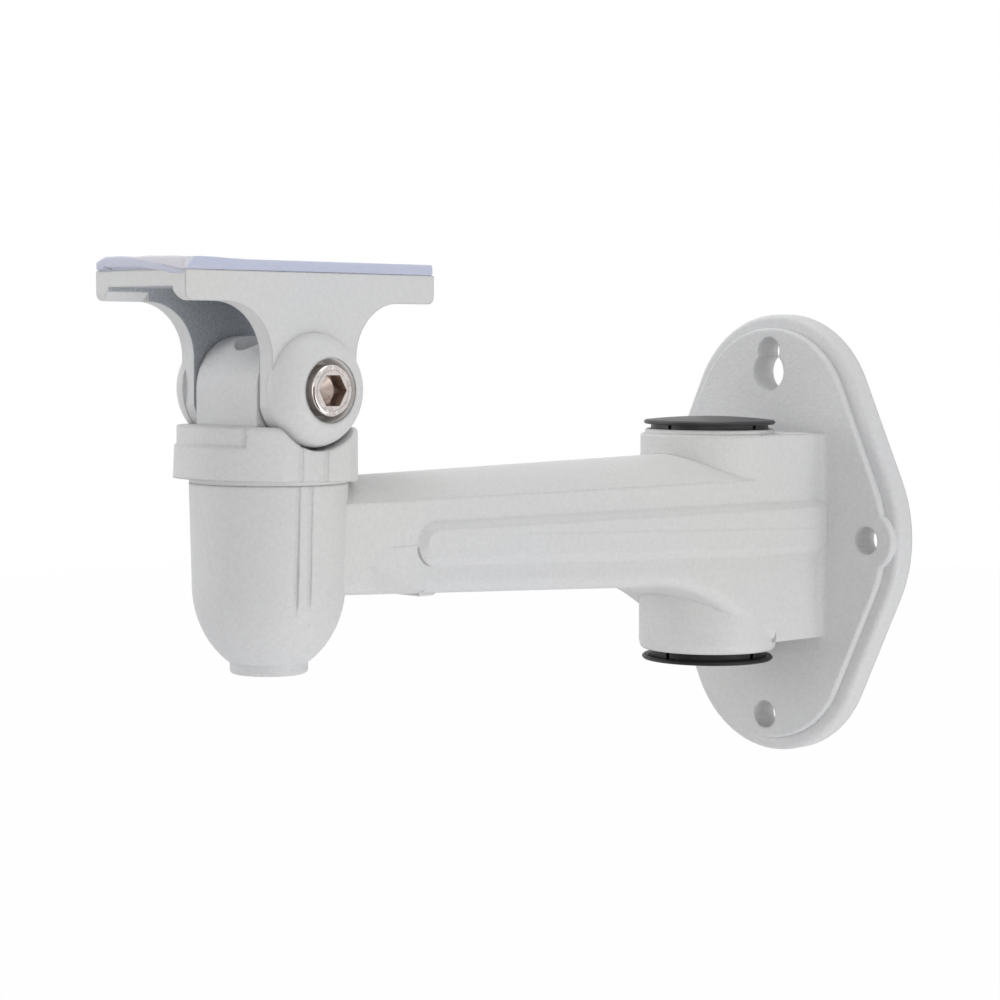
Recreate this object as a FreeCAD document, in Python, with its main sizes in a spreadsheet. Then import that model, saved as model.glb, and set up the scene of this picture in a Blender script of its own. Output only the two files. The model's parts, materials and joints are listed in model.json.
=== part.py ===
import FreeCAD, Part
import math
import os
import Sketcher
from FreeCAD import Placement, Rotation, Vector

# Wall bracket for a security camera: a cast arm with a wall plate at one end and a
# cup at the other, a swivel post that pans in the cup, and a tilt bracket on the
# post that carries the camera.  Millimetres.  The origin is the centre of the wall
# plate's back face, +Y runs into the wall and +Z is up.

SIZES = [
    # wall plate
    ("plate_height", 97.0, "wall plate, top to bottom"),
    ("plate_width", 70.0, "wall plate, side to side"),
    ("plate_end_radius", 24.3, "rounding of the plate's top and bottom"),
    ("plate_side_radius", 30.2, "rounding of the plate's sides"),
    ("plate_base", 4.7, "thickness of the plate's rim"),
    ("plate_step", 1.8, "raised field above the rim"),
    ("rim_width", 3.0, "rim left round the raised field"),
    ("rim_round", 1.3, "rounding of the rim's front edge"),
    ("field_round", 0.6, "rounding of the field's front edge"),
    ("ear_radius", 6.7, "boss of the field round a side hole"),
    ("wall_hole_radius", 3.0, "wall screw holes"),
    ("side_hole_inset", 7.3, "side holes from the plate's side"),
    ("end_hole_inset", 8.1, "top and bottom holes from the plate's ends"),
    ("keyhole_head_radius", 4.2, "wide end of the keyhole"),
    ("keyhole_drop", 4.5, "from the keyhole's neck to its wide end"),
    ("cable_entry_radius", 9.0, "cable hole in the back of the plate"),
    # hub
    ("hub_reach", 26.0, "hub axis from the wall"),
    ("hub_radius", 14.9, "hub"),
    ("hub_draft", 0.3, "hub narrower at its lower end"),
    ("hub_top", 22.7, "shoulder of the hub above the centre line"),
    ("hub_foot", 23.8, "lower end of the hub below the centre line"),
    ("hub_chamfer", 0.4, "hub's shoulder and foot"),
    ("hub_lip_inset", 0.95, "lip round the hub's mouth, inside the hub's side"),
    ("hub_lip_height", 1.0, "lip above the shoulder"),
    ("hub_lip_chamfer", 0.3, "edge of the lip"),
    ("hub_wall", 2.15, "wall of the hub round its bore"),
    ("block_rise", 1.9, "lower face of the block above the hub's foot"),
    ("block_foot_round", 0.9, "rounding of the block's lower edges"),
    ("flare_radius", 1.6, "flare where the block meets the plate"),
    ("gusset_start", 31.5, "start of the gusset ahead of the hub axis"),
    ("gusset_radius", 42.0, "hollow curve of the gusset"),
    ("gusset_slope", 30.0, "slope of the gusset, degrees"),
    ("gusset_foot_round", 4.0, "rounding between gusset and block foot"),
    # arm
    ("arm_length", 121.1, "hub axis to cup axis"),
    ("arm_tip_half_width", 11.2, "half width of the arm at the cup axis"),
    ("arm_tip_crest", 16.5, "top of the arm at the cup axis"),
    ("arm_root_crest", 18.9, "top of the arm at the hub axis"),
    ("arm_tip_shoulder", 12.4, "crease below the arched top, at the cup axis"),
    ("arm_root_shoulder", 13.2, "crease below the arched top, at the hub axis"),
    ("arm_tip_belly", 4.1, "underside below the centre line, at the cup axis"),
    ("arm_root_belly", 9.25, "underside below the centre line, at the hub axis"),
    ("arm_corner_round", 2.6, "lower corners of arm and gusset"),
    ("strip_reach", 26.0, "round end of the side strip from the cup axis"),
    ("strip_proud", 1.5, "side strip above the arm's side"),
    ("strip_bevel", 1.4, "width of the bevel along the strip's upper edge"),
    ("strip_low_bevel", 2.0, "width of the bevel along the strip's lower edge"),
    ("strip_top", 8.3, "upper edge of the side strip"),
    ("strip_tip_drop", 0.2, "lower edge of the strip below the centre line at its round end"),
    ("strip_hub_drop", 3.1, "lower edge of the strip below the centre line at the hub axis"),
    ("strip_root_drop", 3.3, "lower edge of the strip below the centre line at the plate"),
    ("cable_way_radius", 6.0, "cable way along the arm"),
    ("cable_way_height", 4.4, "cable way above the centre line"),
    ("cable_way_stop", 19.0, "wall between the cable way and the cup axis side"),
    ("cable_exit_radius", 4.6, "cable exit in the arm's underside"),
    ("cable_exit_reach", 41.0, "cable exit from the cup axis"),
    ("relief_reach", 28.0, "start of the relief beside the cup, from the cup axis"),
    ("relief_bend_reach", 19.0, "bend of the relief's upper edge, from the cup axis"),
    ("relief_end_reach", 11.0, "end of the relief, inside the cup"),
    ("relief_start_drop", 4.9, "relief's upper edge below the centre line at its start"),
    ("relief_bend_drop", 1.0, "relief's upper edge below the centre line at its bend"),
    ("relief_end_rise", 0.4, "relief's upper edge above the centre line at its end"),
    ("relief_depth", 0.55, "relief below the arm's side"),
    ("lip_length", 4.2, "lip behind the reliefs, along the arm"),
    ("lip_drop", 0.65, "lip below the arm's underside"),
    # cup
    ("cup_radius", 14.6, "cup at its rim"),
    ("cup_draft", 0.5, "cup narrower where its bottom starts to round"),
    ("cup_rim", 16.3, "rim of the cup above the centre line"),
    ("cup_skirt", 2.2, "start of the round bottom below the centre line"),
    ("cup_dome_depth", 17.0, "depth of the cup's round bottom"),
    ("cup_boss_wall", 1.5, "boss under the cup, round the screw head's pocket"),
    ("cup_boss_drop", 2.0, "boss below the round bottom"),
    ("cup_boss_round", 0.7, "lower edge of the boss"),
    ("cup_floor", 2.8, "floor inside the cup below the centre line"),
    ("cup_wall", 3.6, "wall of the cup at its rim"),
    ("cup_groove_radius", 0.35, "fine grooves down the cup's sides"),
    ("cup_groove_lift", 0.15, "middle of a groove's round section outside the cup"),
    ("front_groove_place", 4.3, "front groove ahead of the cup axis"),
    ("front_groove_drop", 5.9, "foot of the front groove below the centre line"),
    ("front_groove_turn", 3.2, "radius in which the front groove turns aside"),
    ("back_groove_place", 1.8, "back groove ahead of the cup axis"),
    ("back_groove_drop", 5.3, "foot of the back groove below the centre line"),
    ("back_groove_turn", 2.4, "radius in which the back groove turns aside"),
    # swivel post
    ("post_clearance", 0.08, "running clearance of post in cup"),
    ("collar_overhang", 2.3, "collar beyond the cup's rim"),
    ("collar_flat_cut", 1.9, "depth of the flats on the collar's sides"),
    ("collar_draft", 0.25, "collar narrower at its top"),
    ("collar_gap", 0.3, "least gap between collar and cup"),
    ("collar_height", 9.7, "height of the collar"),
    ("shoulder_inset", 0.35, "shoulder under the collar, inside the cup's side"),
    ("collar_round", 0.9, "rounding of the collar's top edge"),
    ("collar_offset", 0.7, "collar's centre ahead of the pan axis"),
    ("collar_lean", 1.2, "collar higher in front than behind, degrees"),
    ("notch_depth", 0.3, "shallow step round the collar's front"),
    ("notch_drop", 3.9, "foot of the step below the collar's top"),
    ("notch_slope", 0.5, "height of the step's slanting ledge"),
    ("notch_turn", 100.0, "width of the step, degrees"),
    ("notch_start", 51.0, "start of the step, degrees in front of the side"),
    ("collar_groove_radius", 0.45, "two fine grooves on each flat of the collar"),
    ("collar_groove_depth", 0.3, "two fine grooves on each flat of the collar"),
    ("collar_groove_front", 3.8, "front groove ahead of the collar's middle"),
    ("collar_groove_back", 2.0, "back groove behind the collar's middle"),
    ("tongue_half_width", 9.0, "half width of the tongue"),
    ("tongue_radius", 9.7, "rounding of the tongue about the tilt axis"),
    ("scallop_clearance", 0.6, "hollow in the collar round an ear's boss"),
    ("tilt_rise", 6.73, "tilt axis above the collar"),
    ("crown_slot_width", 10.0, "cored slot in the tongue's crown"),
    ("crown_slot_length", 13.0, "cored slot in the tongue's crown"),
    ("crown_slot_floor", 4.8, "slot's floor above the tilt axis"),
    ("thread_depth", 22.0, "threaded hole in the post's stem"),
    # tilt bracket
    ("ear_wall", 3.7, "thickness of an ear"),
    ("ear_half_depth", 9.7, "half depth of an ear at the tilt axis"),
    ("ear_straight", 3.0, "ear's upright edges end below the tilt axis"),
    ("ear_foot", 10.3, "round foot of the ear below the tilt axis"),
    ("ear_arc_radius", 10.0, "hollow curve between ear and table"),
    ("table_length", 57.2, "table that carries the camera"),
    ("table_top", 21.0, "top of the table above the tilt axis"),
    ("table_skirt", 5.3, "height of the table's side walls"),
    ("table_web", 2.9, "thickness of the table"),
    ("table_round", 1.4, "rounding of the table's ends"),
    ("skirt_chamfer", 1.8, "inner lower edges of the table's side walls"),
    ("ear_boss_radius", 10.3, "foot of an ear's domed boss"),
    ("ear_boss_rim", 0.75, "flat rim of a boss round its pocket"),
    ("ear_boss_height", 4.45, "boss above the ear's outer face"),
    ("ear_boss_bulge", 0.7, "bulge of the boss's side beyond a cone"),
    ("ear_boss_round", 0.5, "edge of the boss's flat rim"),
    ("camera_slot_width", 6.8, "slot for the camera's quarter inch screw"),
    ("camera_slot_length", 36.0, "slot for the camera's quarter inch screw"),
    # pad
    ("pad_thickness", 2.0, "foam pad on the table"),
    # fasteners
    ("screw_radius", 3.0, "M6 screw"),
    ("thread_clearance", 0.05, "screw in its thread, which is cut plain"),
    ("screw_clearance", 0.3, "screw in a through hole"),
    ("head_clearance", 1.1, "screw head in its pocket"),
    ("screw_head_radius", 4.6, "socket head"),
    ("screw_head_height", 6.0, "socket head"),
    ("screw_head_chamfer", 0.3, "socket head"),
    ("hex_key", 5.5, "across the flats of the hexagon socket"),
    ("hex_depth", 3.2, "depth of the hexagon socket"),
    ("pan_screw_length", 20.0, "below its head"),
    ("tilt_screw_length", 28.0, "below its head"),
    ("tilt_head_proud", 0.6, "screw head above the boss's face"),
    ("pan_head_depth", 0.6, "screw head inside the foot of the cup's boss"),
    ("nut_depth", 1.3, "nut below the boss's face"),
    ("flat_washer_clearance", 0.2, "flat washer in the pocket"),
    ("flat_washer_thickness", 1.6, "flat washer"),
    ("spring_washer_clearance", 0.4, "spring washer in the pocket"),
    ("spring_washer_thickness", 1.5, "spring washer"),
    ("spring_washer_split", 0.9, "split of the spring washer"),
    ("spring_washer_slant", 25.0, "slant of the split, degrees"),
    ("nut_key", 10.0, "across the flats of the nut"),
    ("nut_height", 5.0, "height of the nut"),
    ("nut_clearance", 0.15, "nut in its pocket"),
    ("thrust_washer_thickness", 1.0, "nylon washer under the post"),
    ("thrust_washer_hole_radius", 4.0, "nylon washer under the post"),
    ("thrust_washer_clearance", 0.3, "nylon washer in the cup"),
    ("side_washer_thickness", 0.5, "nylon washers beside the tongue"),
    ("side_washer_inset", 1.5, "nylon washers inside the tongue's outline"),
    ("washer_play", 0.05, "free play beside a nylon washer"),
    # plugs
    ("plug_inset", 0.75, "disc of a plug inside the hub's side"),
    ("plug_edge", 0.3, "chamfers of the disc"),
    ("plug_rim", 0.9, "thickness of the disc at its rim"),
    ("plug_dome", 0.8, "rise of the disc's domed top"),
    ("upper_plug_gap", 1.0, "disc above the hub's lip"),
    ("lower_plug_gap", 1.5, "disc below the hub's foot"),
    ("plug_clearance", 0.08, "plug's ring in the hub's bore"),
    ("plug_ring_wall", 1.3, "wall of the plug's ring"),
    ("plug_ring_length", 7.0, "length of the plug's ring"),
    ("plug_slot_width", 0.9, "slots between the ring's fingers"),
    ("plug_finger_count", 4, "fingers of the ring"),
]

doc = FreeCAD.newDocument("CameraBracket")
sheet = doc.addObject("Spreadsheet::Sheet", "Sizes")
for row, (alias, value, note) in enumerate(SIZES, start=1):
    sheet.set("A%d" % row, alias)
    sheet.set("B%d" % row, str(value))
    sheet.set("C%d" % row, note)
    sheet.setAlias("B%d" % row, alias)
doc.recompute()


def size(alias):
    return float(sheet.get(alias))


# ---------------------------------------------------------------- shared places
sideHole = size("plate_width") / 2 - size("side_hole_inset")
endHole = size("plate_height") / 2 - size("end_hole_inset")
wallFront = -(size("plate_base") + size("plate_step"))
hubY = -size("hub_reach")
hubBore = size("hub_radius") - size("hub_wall")
blockFoot = size("block_rise") - size("hub_foot")
bellySlope = (size("arm_root_belly") - size("arm_tip_belly")) / size("arm_length")
cupY = hubY - size("arm_length")
cupLow = size("cup_radius") - size("cup_draft")
cupBore = size("cup_radius") - size("cup_wall")
headPocket = size("screw_head_radius") + size("head_clearance")
nutPocket = (size("nut_key") / 2 + size("nut_clearance")) / math.cos(math.pi / 6)
screwHole = size("screw_radius") + size("screw_clearance")
cupBoss = headPocket + size("cup_boss_wall")
cupBossTop = -size("cup_skirt") - size("cup_dome_depth") * math.sqrt(1 - (cupBoss / cupLow) ** 2)
cupBossFoot = cupBossTop - size("cup_boss_drop")
collarRadius = size("cup_radius") + size("collar_overhang")
collarFlat = collarRadius - size("collar_flat_cut")
collarSwing = collarRadius + size("collar_offset")
collarDip = collarSwing * math.sin(math.radians(size("collar_lean")))
collarFoot = size("cup_rim") + size("collar_gap") + collarDip
collarTop = collarFoot + size("collar_height")
tiltZ = collarTop + size("tilt_rise")
earInner = size("tongue_half_width") + size("side_washer_thickness") + 2 * size("washer_play")
earOuter = earInner + size("ear_wall")
bossFace = earOuter + size("ear_boss_height")
bossFaceRadius = max(headPocket, nutPocket) + size("ear_boss_rim")
earSwing = max(math.hypot(size("ear_half_depth"), size("ear_straight")), size("ear_foot"),
               size("ear_boss_radius"))
tableTop = tiltZ + size("table_top")
panHeadFoot = cupBossFoot + size("pan_head_depth")
panHeadUnder = panHeadFoot + size("screw_head_height")
panSeat = panHeadUnder + size("spring_washer_thickness") + size("flat_washer_thickness")
tiltSeat = bossFace + size("tilt_head_proud") - size("screw_head_height")
nutSeat = bossFace - size("nut_depth") - size("nut_height")
beyond = 100.0  # cutters end well outside the pieces


def side_half_width(y):
    """Half width of the arm and block at a place along the arm."""
    taper = (size("hub_radius") - size("arm_tip_half_width")) / size("arm_length")
    return size("arm_tip_half_width") + taper * (y - cupY)


# ---------------------------------------------------------------- shape helpers
def line(a, b):
    return Part.LineSegment(a, b).toShape()


def arc(a, middle, b):
    return Part.Arc(a, middle, b).toShape()


def mirrored(shape, normal):
    return shape.mirror(Vector(0, 0, 0), normal)


def both_sides(shape):
    """A shape and its mirror image across the bracket's middle plane."""
    return shape.fuse(mirrored(shape, Vector(1, 0, 0)))


def cylinder(radius, length, start, direction):
    return Part.makeCylinder(radius, length, start, direction)


def polygon_face(points):
    return Part.Face(Part.makePolygon(points + points[:1]))


def edges_at(shape, test):
    """Edges whose every vertex and middle pass the test."""
    found = []
    for edge in shape.Edges:
        middle = edge.valueAt((edge.FirstParameter + edge.LastParameter) / 2)
        points = [vertex.Point for vertex in edge.Vertexes] + [middle]
        if all(test(point) for point in points):
            found.append(edge)
    return found


def tangent_outline(end_reach, end_radius, side_reach, side_radius, y):
    """Outline of a band stretched round four circles, two on Z and two on X."""
    span = math.hypot(end_reach, side_reach)
    lean = math.atan2(end_reach, side_reach)
    turn = lean - math.asin((side_radius - end_radius) / span)
    normal = (math.sin(turn), math.cos(turn))
    corner_end = (end_radius * normal[0], end_reach + end_radius * normal[1])
    corner_side = (side_reach + side_radius * normal[0], side_radius * normal[1])
    top = Vector(0, y, end_reach + end_radius)
    right = Vector(side_reach + side_radius, y, 0)
    ne_top = Vector(corner_end[0], y, corner_end[1])
    ne_side = Vector(corner_side[0], y, corner_side[1])
    se_top, se_side = (Vector(p.x, y, -p.z) for p in (ne_top, ne_side))
    nw_top, nw_side = (Vector(-p.x, y, p.z) for p in (ne_top, ne_side))
    sw_top, sw_side = (Vector(-p.x, y, -p.z) for p in (ne_top, ne_side))
    return Part.Wire([
        arc(nw_top, top, ne_top), line(ne_top, ne_side), arc(ne_side, right, se_side),
        line(se_side, se_top), arc(se_top, Vector(0, y, -top.z), sw_top),
        line(sw_top, sw_side), arc(sw_side, Vector(-right.x, y, 0), nw_side),
        line(nw_side, nw_top)])


def plate_slab(inset, depth, edge_round):
    """Plate outline, drawn in by inset, out to depth in front of the wall."""
    end_radius = size("plate_end_radius")
    side_radius = size("plate_side_radius")
    end_reach = size("plate_height") / 2 - end_radius
    side_reach = size("plate_width") / 2 - side_radius
    outline = tangent_outline(end_reach, end_radius - inset,
                              side_reach, side_radius - inset, 0)
    slab = Part.Face(outline).extrude(Vector(0, -depth, 0))
    front = edges_at(slab, lambda p: p.y < -depth + 0.01)
    return slab.makeFillet(edge_round, front)


# ---------------------------------------------------------------- the casting
def wall_plate():
    depth = -wallFront
    plate = plate_slab(0, size("plate_base"), size("rim_round"))
    field = plate_slab(size("rim_width"), depth, size("field_round"))
    ear = cylinder(size("ear_radius"), depth, Vector(sideHole, 0, 0),
                   Vector(0, -1, 0))
    front = edges_at(ear, lambda p: p.y < wallFront + 0.01)
    ear = ear.makeFillet(size("field_round"), front)
    return plate.fuse([field, both_sides(ear)])


def hub():
    foot = -size("hub_foot")
    top = size("hub_top")
    mouth = top + size("hub_lip_height")
    radius = size("hub_radius")
    foot_radius = radius - size("hub_draft")
    lip = radius - size("hub_lip_inset")
    chamfer = size("hub_chamfer")
    lip_chamfer = size("hub_lip_chamfer")
    profile = [
        Vector(0, 0, foot), Vector(foot_radius - chamfer, 0, foot),
        Vector(foot_radius, 0, foot + chamfer), Vector(radius, 0, blockFoot),
        Vector(radius, 0, top - chamfer), Vector(radius - chamfer, 0, top),
        Vector(lip, 0, top), Vector(lip, 0, mouth - lip_chamfer),
        Vector(lip - lip_chamfer, 0, mouth), Vector(0, 0, mouth)]
    body = polygon_face(profile).revolve(Vector(0, 0, 0), Vector(0, 0, 1), 360)
    body.translate(Vector(0, hubY, 0))
    return body


def plan_prism(y_from, y_to, flare):
    """Everything between the bracket's two slanting sides, from y_from to y_to."""
    start, end = side_half_width(y_from), side_half_width(y_to)
    low, high = Vector(0, 0, -beyond), Vector(0, 0, 2 * beyond)
    right = [Vector(start, y_from, 0)]
    edges = []
    if flare:
        radius = size("flare_radius")
        foot = Vector(end, y_to - radius, 0)
        bend = Vector(end + radius * (1 - math.cos(math.pi / 4)),
                      y_to - radius * (1 - math.sin(math.pi / 4)), 0)
        tip = Vector(end + radius, y_to, 0)
        edges = [line(right[0], foot), arc(foot, bend, tip)]
    else:
        tip = Vector(end, y_to, 0)
        edges = [line(right[0], tip)]
    left = [mirrored(edge, Vector(1, 0, 0)) for edge in edges]
    mirror = [Vector(-p.x, p.y, 0) for p in (right[0], tip)]
    outline = edges + [line(tip, mirror[1])] + left + [line(mirror[0], right[0])]
    wire = Part.Wire(Part.sortEdges(outline)[0])
    wire.translate(low)
    return Part.Face(wire).extrude(high)


def block():
    """Block between hub and plate, with the gusset that runs out under the arm."""
    reach = size("gusset_start")
    start = Vector(0, hubY - reach, -size("arm_root_belly") + bellySlope * reach + 0.02)
    slope = math.radians(size("gusset_slope"))
    radius = size("gusset_radius")
    foot_round = size("gusset_foot_round")
    bend = start + Vector(0, math.sin(slope / 2), math.cos(slope / 2) - 1) * radius
    run = start + Vector(0, math.sin(slope), math.cos(slope) - 1) * radius
    knee = run + Vector(0, (run.z - blockFoot) / math.tan(slope), blockFoot - run.z)
    setback = foot_round * math.tan(slope / 2)
    before = knee - Vector(0, math.cos(slope), -math.sin(slope)) * setback
    after = knee + Vector(0, setback, 0)
    centre = after + Vector(0, 0, foot_round)
    middle = centre - Vector(0, math.sin(slope / 2), math.cos(slope / 2)) * foot_round
    roof = start + Vector(0, 0, size("arm_root_belly"))
    wall_foot, wall_roof = Vector(0, 0, blockFoot), Vector(0, 0, roof.z)
    gusset = Part.Face(Part.Wire([
        arc(start, bend, run), line(run, before), arc(before, middle, after),
        line(after, wall_foot), line(wall_foot, wall_roof), line(wall_roof, roof),
        line(roof, start)]))
    gusset.translate(Vector(-beyond, 0, 0))
    lower = gusset.extrude(Vector(2 * beyond, 0, 0)).common(plan_prism(start.y, 0, False))
    half = size("arm_tip_half_width") / 2
    under = edges_at(lower, lambda p: abs(p.x) > half and p.z < roof.z - 1 and p.y < -0.5)
    under = [edge for edge in under if edge.BoundBox.YLength > 0.1]
    lower = lower.makeFillet(size("arm_corner_round"), under)
    front = Part.makeBox(2 * beyond, after.y - hubY, size("hub_top") - roof.z + 1,
                         Vector(-beyond, hubY, roof.z - 1))
    back = Part.makeBox(2 * beyond, -after.y, size("hub_top") - blockFoot,
                        Vector(-beyond, after.y, blockFoot))
    upper = front.fuse(back).common(plan_prism(hubY, wallFront, True)).removeSplitter()
    foot = edges_at(upper, lambda p: p.z < blockFoot + 0.01 and abs(p.x) > half)
    return lower.fuse(upper.makeFillet(size("block_foot_round"), foot))


def arm_section(y, half_width, crest, shoulder, belly, corner):
    """Arched top, upright sides and rounded lower corners."""
    right = Vector(half_width, y, shoulder)
    left = Vector(-half_width, y, shoulder)
    nook = corner * (1 - math.sqrt(0.5))
    right_side = Vector(half_width, y, -belly + corner)
    right_foot = Vector(half_width - corner, y, -belly)
    left_foot = Vector(-half_width + corner, y, -belly)
    left_side = Vector(-half_width, y, -belly + corner)
    return Part.Wire([
        arc(left, Vector(0, y, crest), right), line(right, right_side),
        arc(right_side, Vector(half_width - nook, y, -belly + nook), right_foot),
        line(right_foot, left_foot),
        arc(left_foot, Vector(-half_width + nook, y, -belly + nook), left_side),
        line(left_side, left)])


def arm():
    corner = size("arm_corner_round")
    tip = arm_section(cupY, size("arm_tip_half_width"), size("arm_tip_crest"),
                      size("arm_tip_shoulder"), size("arm_tip_belly"), corner)
    root = arm_section(hubY, size("hub_radius"), size("arm_root_crest"),
                       size("arm_root_shoulder"), size("arm_root_belly"), corner)
    return Part.makeLoft([tip, root], True, True)


def strip_outline(inset, low_inset, lift):
    """Outline of a side strip in the plane of the arm's side, from its round end."""
    tip = size("strip_reach") + cupY + inset
    top = size("strip_top") - inset
    tip_foot = -size("strip_tip_drop") + low_inset
    bend = (top - tip_foot) / 2
    shoulder = tip + bend * 0.85
    start, end = Vector(lift, shoulder, tip_foot), Vector(lift, shoulder, top)
    root_top = Vector(lift, 0, top)
    root_foot = Vector(lift, 0, -size("strip_root_drop") + low_inset)
    hub_foot = Vector(lift, hubY, -size("strip_hub_drop") + low_inset)
    return Part.Wire([
        arc(start, Vector(lift, tip, tip_foot + bend), end), line(end, root_top),
        line(root_top, root_foot), line(root_foot, hub_foot), line(hub_foot, start)])


def strips():
    sunk = 0.3
    pad = Part.makeLoft([
        strip_outline(-sunk, -sunk, -sunk), strip_outline(0, 0, 0),
        strip_outline(size("strip_bevel"), size("strip_low_bevel"), size("strip_proud"))],
        True, True)
    taper = math.degrees(math.atan(
        (size("hub_radius") - size("arm_tip_half_width")) / size("arm_length")))
    pad.rotate(Vector(0, 0, 0), Vector(0, 0, 1), -taper)
    pad.translate(Vector(side_half_width(0), 0, 0))
    keep = Part.makeBox(2 * beyond, 4 * beyond, 2 * beyond,
                        Vector(-beyond, wallFront - 4 * beyond, -beyond))
    return both_sides(pad.common(keep))


def cup():
    """Outside of the cup, round about the pan axis."""
    rim = size("cup_rim")
    skirt = -size("cup_skirt")
    depth = size("cup_dome_depth")
    soft = size("cup_boss_round")
    nook = soft * (1 - math.sqrt(0.5))
    centre, side = Vector(0, 0, skirt), Vector(cupLow, 0, skirt)
    bottom = Vector(0, 0, skirt - depth)
    if depth > cupLow:
        bowl = Part.Ellipse(bottom, side, centre)
        dome = Part.ArcOfEllipse(bowl, math.asin(cupBoss / cupLow), math.pi / 2).toShape()
    else:
        bowl = Part.Ellipse(side, bottom, centre)
        dome = Part.ArcOfEllipse(bowl, 0, math.acos(cupBoss / cupLow)).toShape()
    lip_edge = Vector(size("cup_radius"), 0, rim)
    foot, foot_edge = Vector(0, 0, cupBossFoot), Vector(cupBoss - soft, 0, cupBossFoot)
    foot_side = Vector(cupBoss, 0, cupBossFoot + soft)
    outline = Part.Wire([
        line(foot, foot_edge),
        arc(foot_edge, Vector(cupBoss - nook, 0, cupBossFoot + nook), foot_side),
        line(foot_side, Vector(cupBoss, 0, cupBossTop)), dome, line(side, lip_edge),
        line(lip_edge, Vector(0, 0, rim)), line(Vector(0, 0, rim), foot)])
    body = Part.Face(outline).revolve(Vector(0, 0, 0), Vector(0, 0, 1), 360)
    body.translate(Vector(0, cupY, 0))
    return body


def cup_groove(place, drop, turn):
    """Cutter for a fine groove down the cup's side that turns to the arm at its foot."""
    lift = size("cup_groove_lift")
    below = (drop - size("cup_skirt")) / size("cup_dome_depth")
    bowl = cupLow * math.sqrt(1 - below ** 2)
    top = Vector(math.sqrt(size("cup_radius") ** 2 - place ** 2) + lift,
                 cupY - place, size("cup_rim") + 1)
    bend = Vector(math.sqrt(bowl ** 2 - place ** 2) + lift, cupY - place, -drop)
    along, aside = (bend - top).normalize(), Vector(0, 1, 0)
    corner = math.sqrt(0.5)
    middle = bend + along * (turn * corner) + aside * (turn * (1 - corner))
    path = Part.Wire([line(top, bend), arc(bend, middle, bend + (along + aside) * turn)])
    section = Part.Wire(Part.makeCircle(size("cup_groove_radius"), top, along))
    return path.makePipeShell([section], True, True)


def cup_grooves():
    front = cup_groove(size("front_groove_place"), size("front_groove_drop"),
                       size("front_groove_turn"))
    back = cup_groove(size("back_groove_place"), size("back_groove_drop"),
                      size("back_groove_turn"))
    return [front, back, mirrored(front, Vector(1, 0, 0)), mirrored(back, Vector(1, 0, 0))]


def reliefs():
    """Shallow hollows low in the arm's sides, which fade out beside the cup."""
    floor = size("arm_tip_half_width") - size("relief_depth")
    start = cupY + size("relief_reach")
    bend = cupY + size("relief_bend_reach")
    end = cupY + size("relief_end_reach")
    foot = -size("arm_tip_belly") - 3
    profile = [Vector(floor, start, foot), Vector(floor, start, -size("relief_start_drop")),
               Vector(floor, bend, -size("relief_bend_drop")),
               Vector(floor, end, size("relief_end_rise")), Vector(floor, end, foot)]
    hollow = polygon_face(profile).extrude(Vector(4, 2, 3))
    fade = floor + 3 * size("relief_depth")
    plan = [Vector(fade, end, 0), Vector(floor, bend, 0), Vector(floor, start + 4, 0),
            Vector(beyond, start + 4, 0), Vector(beyond, end, 0)]
    keep = polygon_face(plan).extrude(Vector(0, 0, 2 * beyond))
    keep.translate(Vector(0, 0, -beyond))
    return both_sides(hollow.common(keep))


def lip():
    """Shallow lip across the arm's underside, behind the reliefs."""
    start = cupY + size("relief_reach")
    belly = size("arm_tip_belly") + size("relief_reach") * bellySlope
    half = side_half_width(start) - 0.8 * size("arm_corner_round")
    foot = -belly - size("lip_drop")
    bar = Part.makeBox(2 * half, size("lip_length"), size("lip_drop") + 2,
                       Vector(-half, start, foot))
    lower = edges_at(bar, lambda p: p.z < foot + 0.01)
    return bar.makeFillet(size("lip_drop") * 0.9, lower)


def wall_holes():
    back, into = Vector(0, 1, 0), Vector(0, -1, 0)
    depth = 1 - hubY / 2
    centres = [Vector(sideHole, 0, 0), Vector(-sideHole, 0, 0), Vector(0, 0, -endHole),
               Vector(0, 0, endHole)]
    holes = [cylinder(size("wall_hole_radius"), depth, c + back, into) for c in centres]
    wide_end = Vector(0, 0, endHole - size("keyhole_drop"))
    holes.append(cylinder(size("keyhole_head_radius"), depth, wide_end + back, into))
    return holes


def arm_casting():
    body = wall_plate().fuse([hub(), block(), arm(), strips(), lip()])
    body = body.cut(reliefs()).fuse(cup()).removeSplitter()
    down, up = Vector(0, 0, -1), Vector(0, 0, 1)
    hub_bore = cylinder(hubBore, 2 * beyond, Vector(0, hubY, beyond), down)
    entry = cylinder(size("cable_entry_radius"), -hubY, Vector(0, 0, 0), Vector(0, -1, 0))
    way_start = cupY + size("cable_way_stop")
    way = cylinder(size("cable_way_radius"), hubY - way_start,
                   Vector(0, way_start, size("cable_way_height")), Vector(0, 1, 0))
    exit_y = cupY + size("cable_exit_reach")
    cable_exit = cylinder(size("cable_exit_radius"), beyond,
                          Vector(0, exit_y, size("cable_way_height")), down)
    spot_face = cylinder(collarSwing + size("collar_gap"), beyond,
                         Vector(0, cupY, size("cup_rim")), up)
    cup_bore = cylinder(cupBore, beyond, Vector(0, cupY, -size("cup_floor")), up)
    screw_hole = cylinder(screwHole, 2 * beyond, Vector(0, cupY, -beyond), up)
    head_pocket = cylinder(headPocket, beyond, Vector(0, cupY, panSeat), down)
    tools = [hub_bore, entry, way, cable_exit, spot_face, cup_bore, screw_hole, head_pocket]
    return body.cut(tools + wall_holes() + cup_grooves()).removeSplitter()


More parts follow.
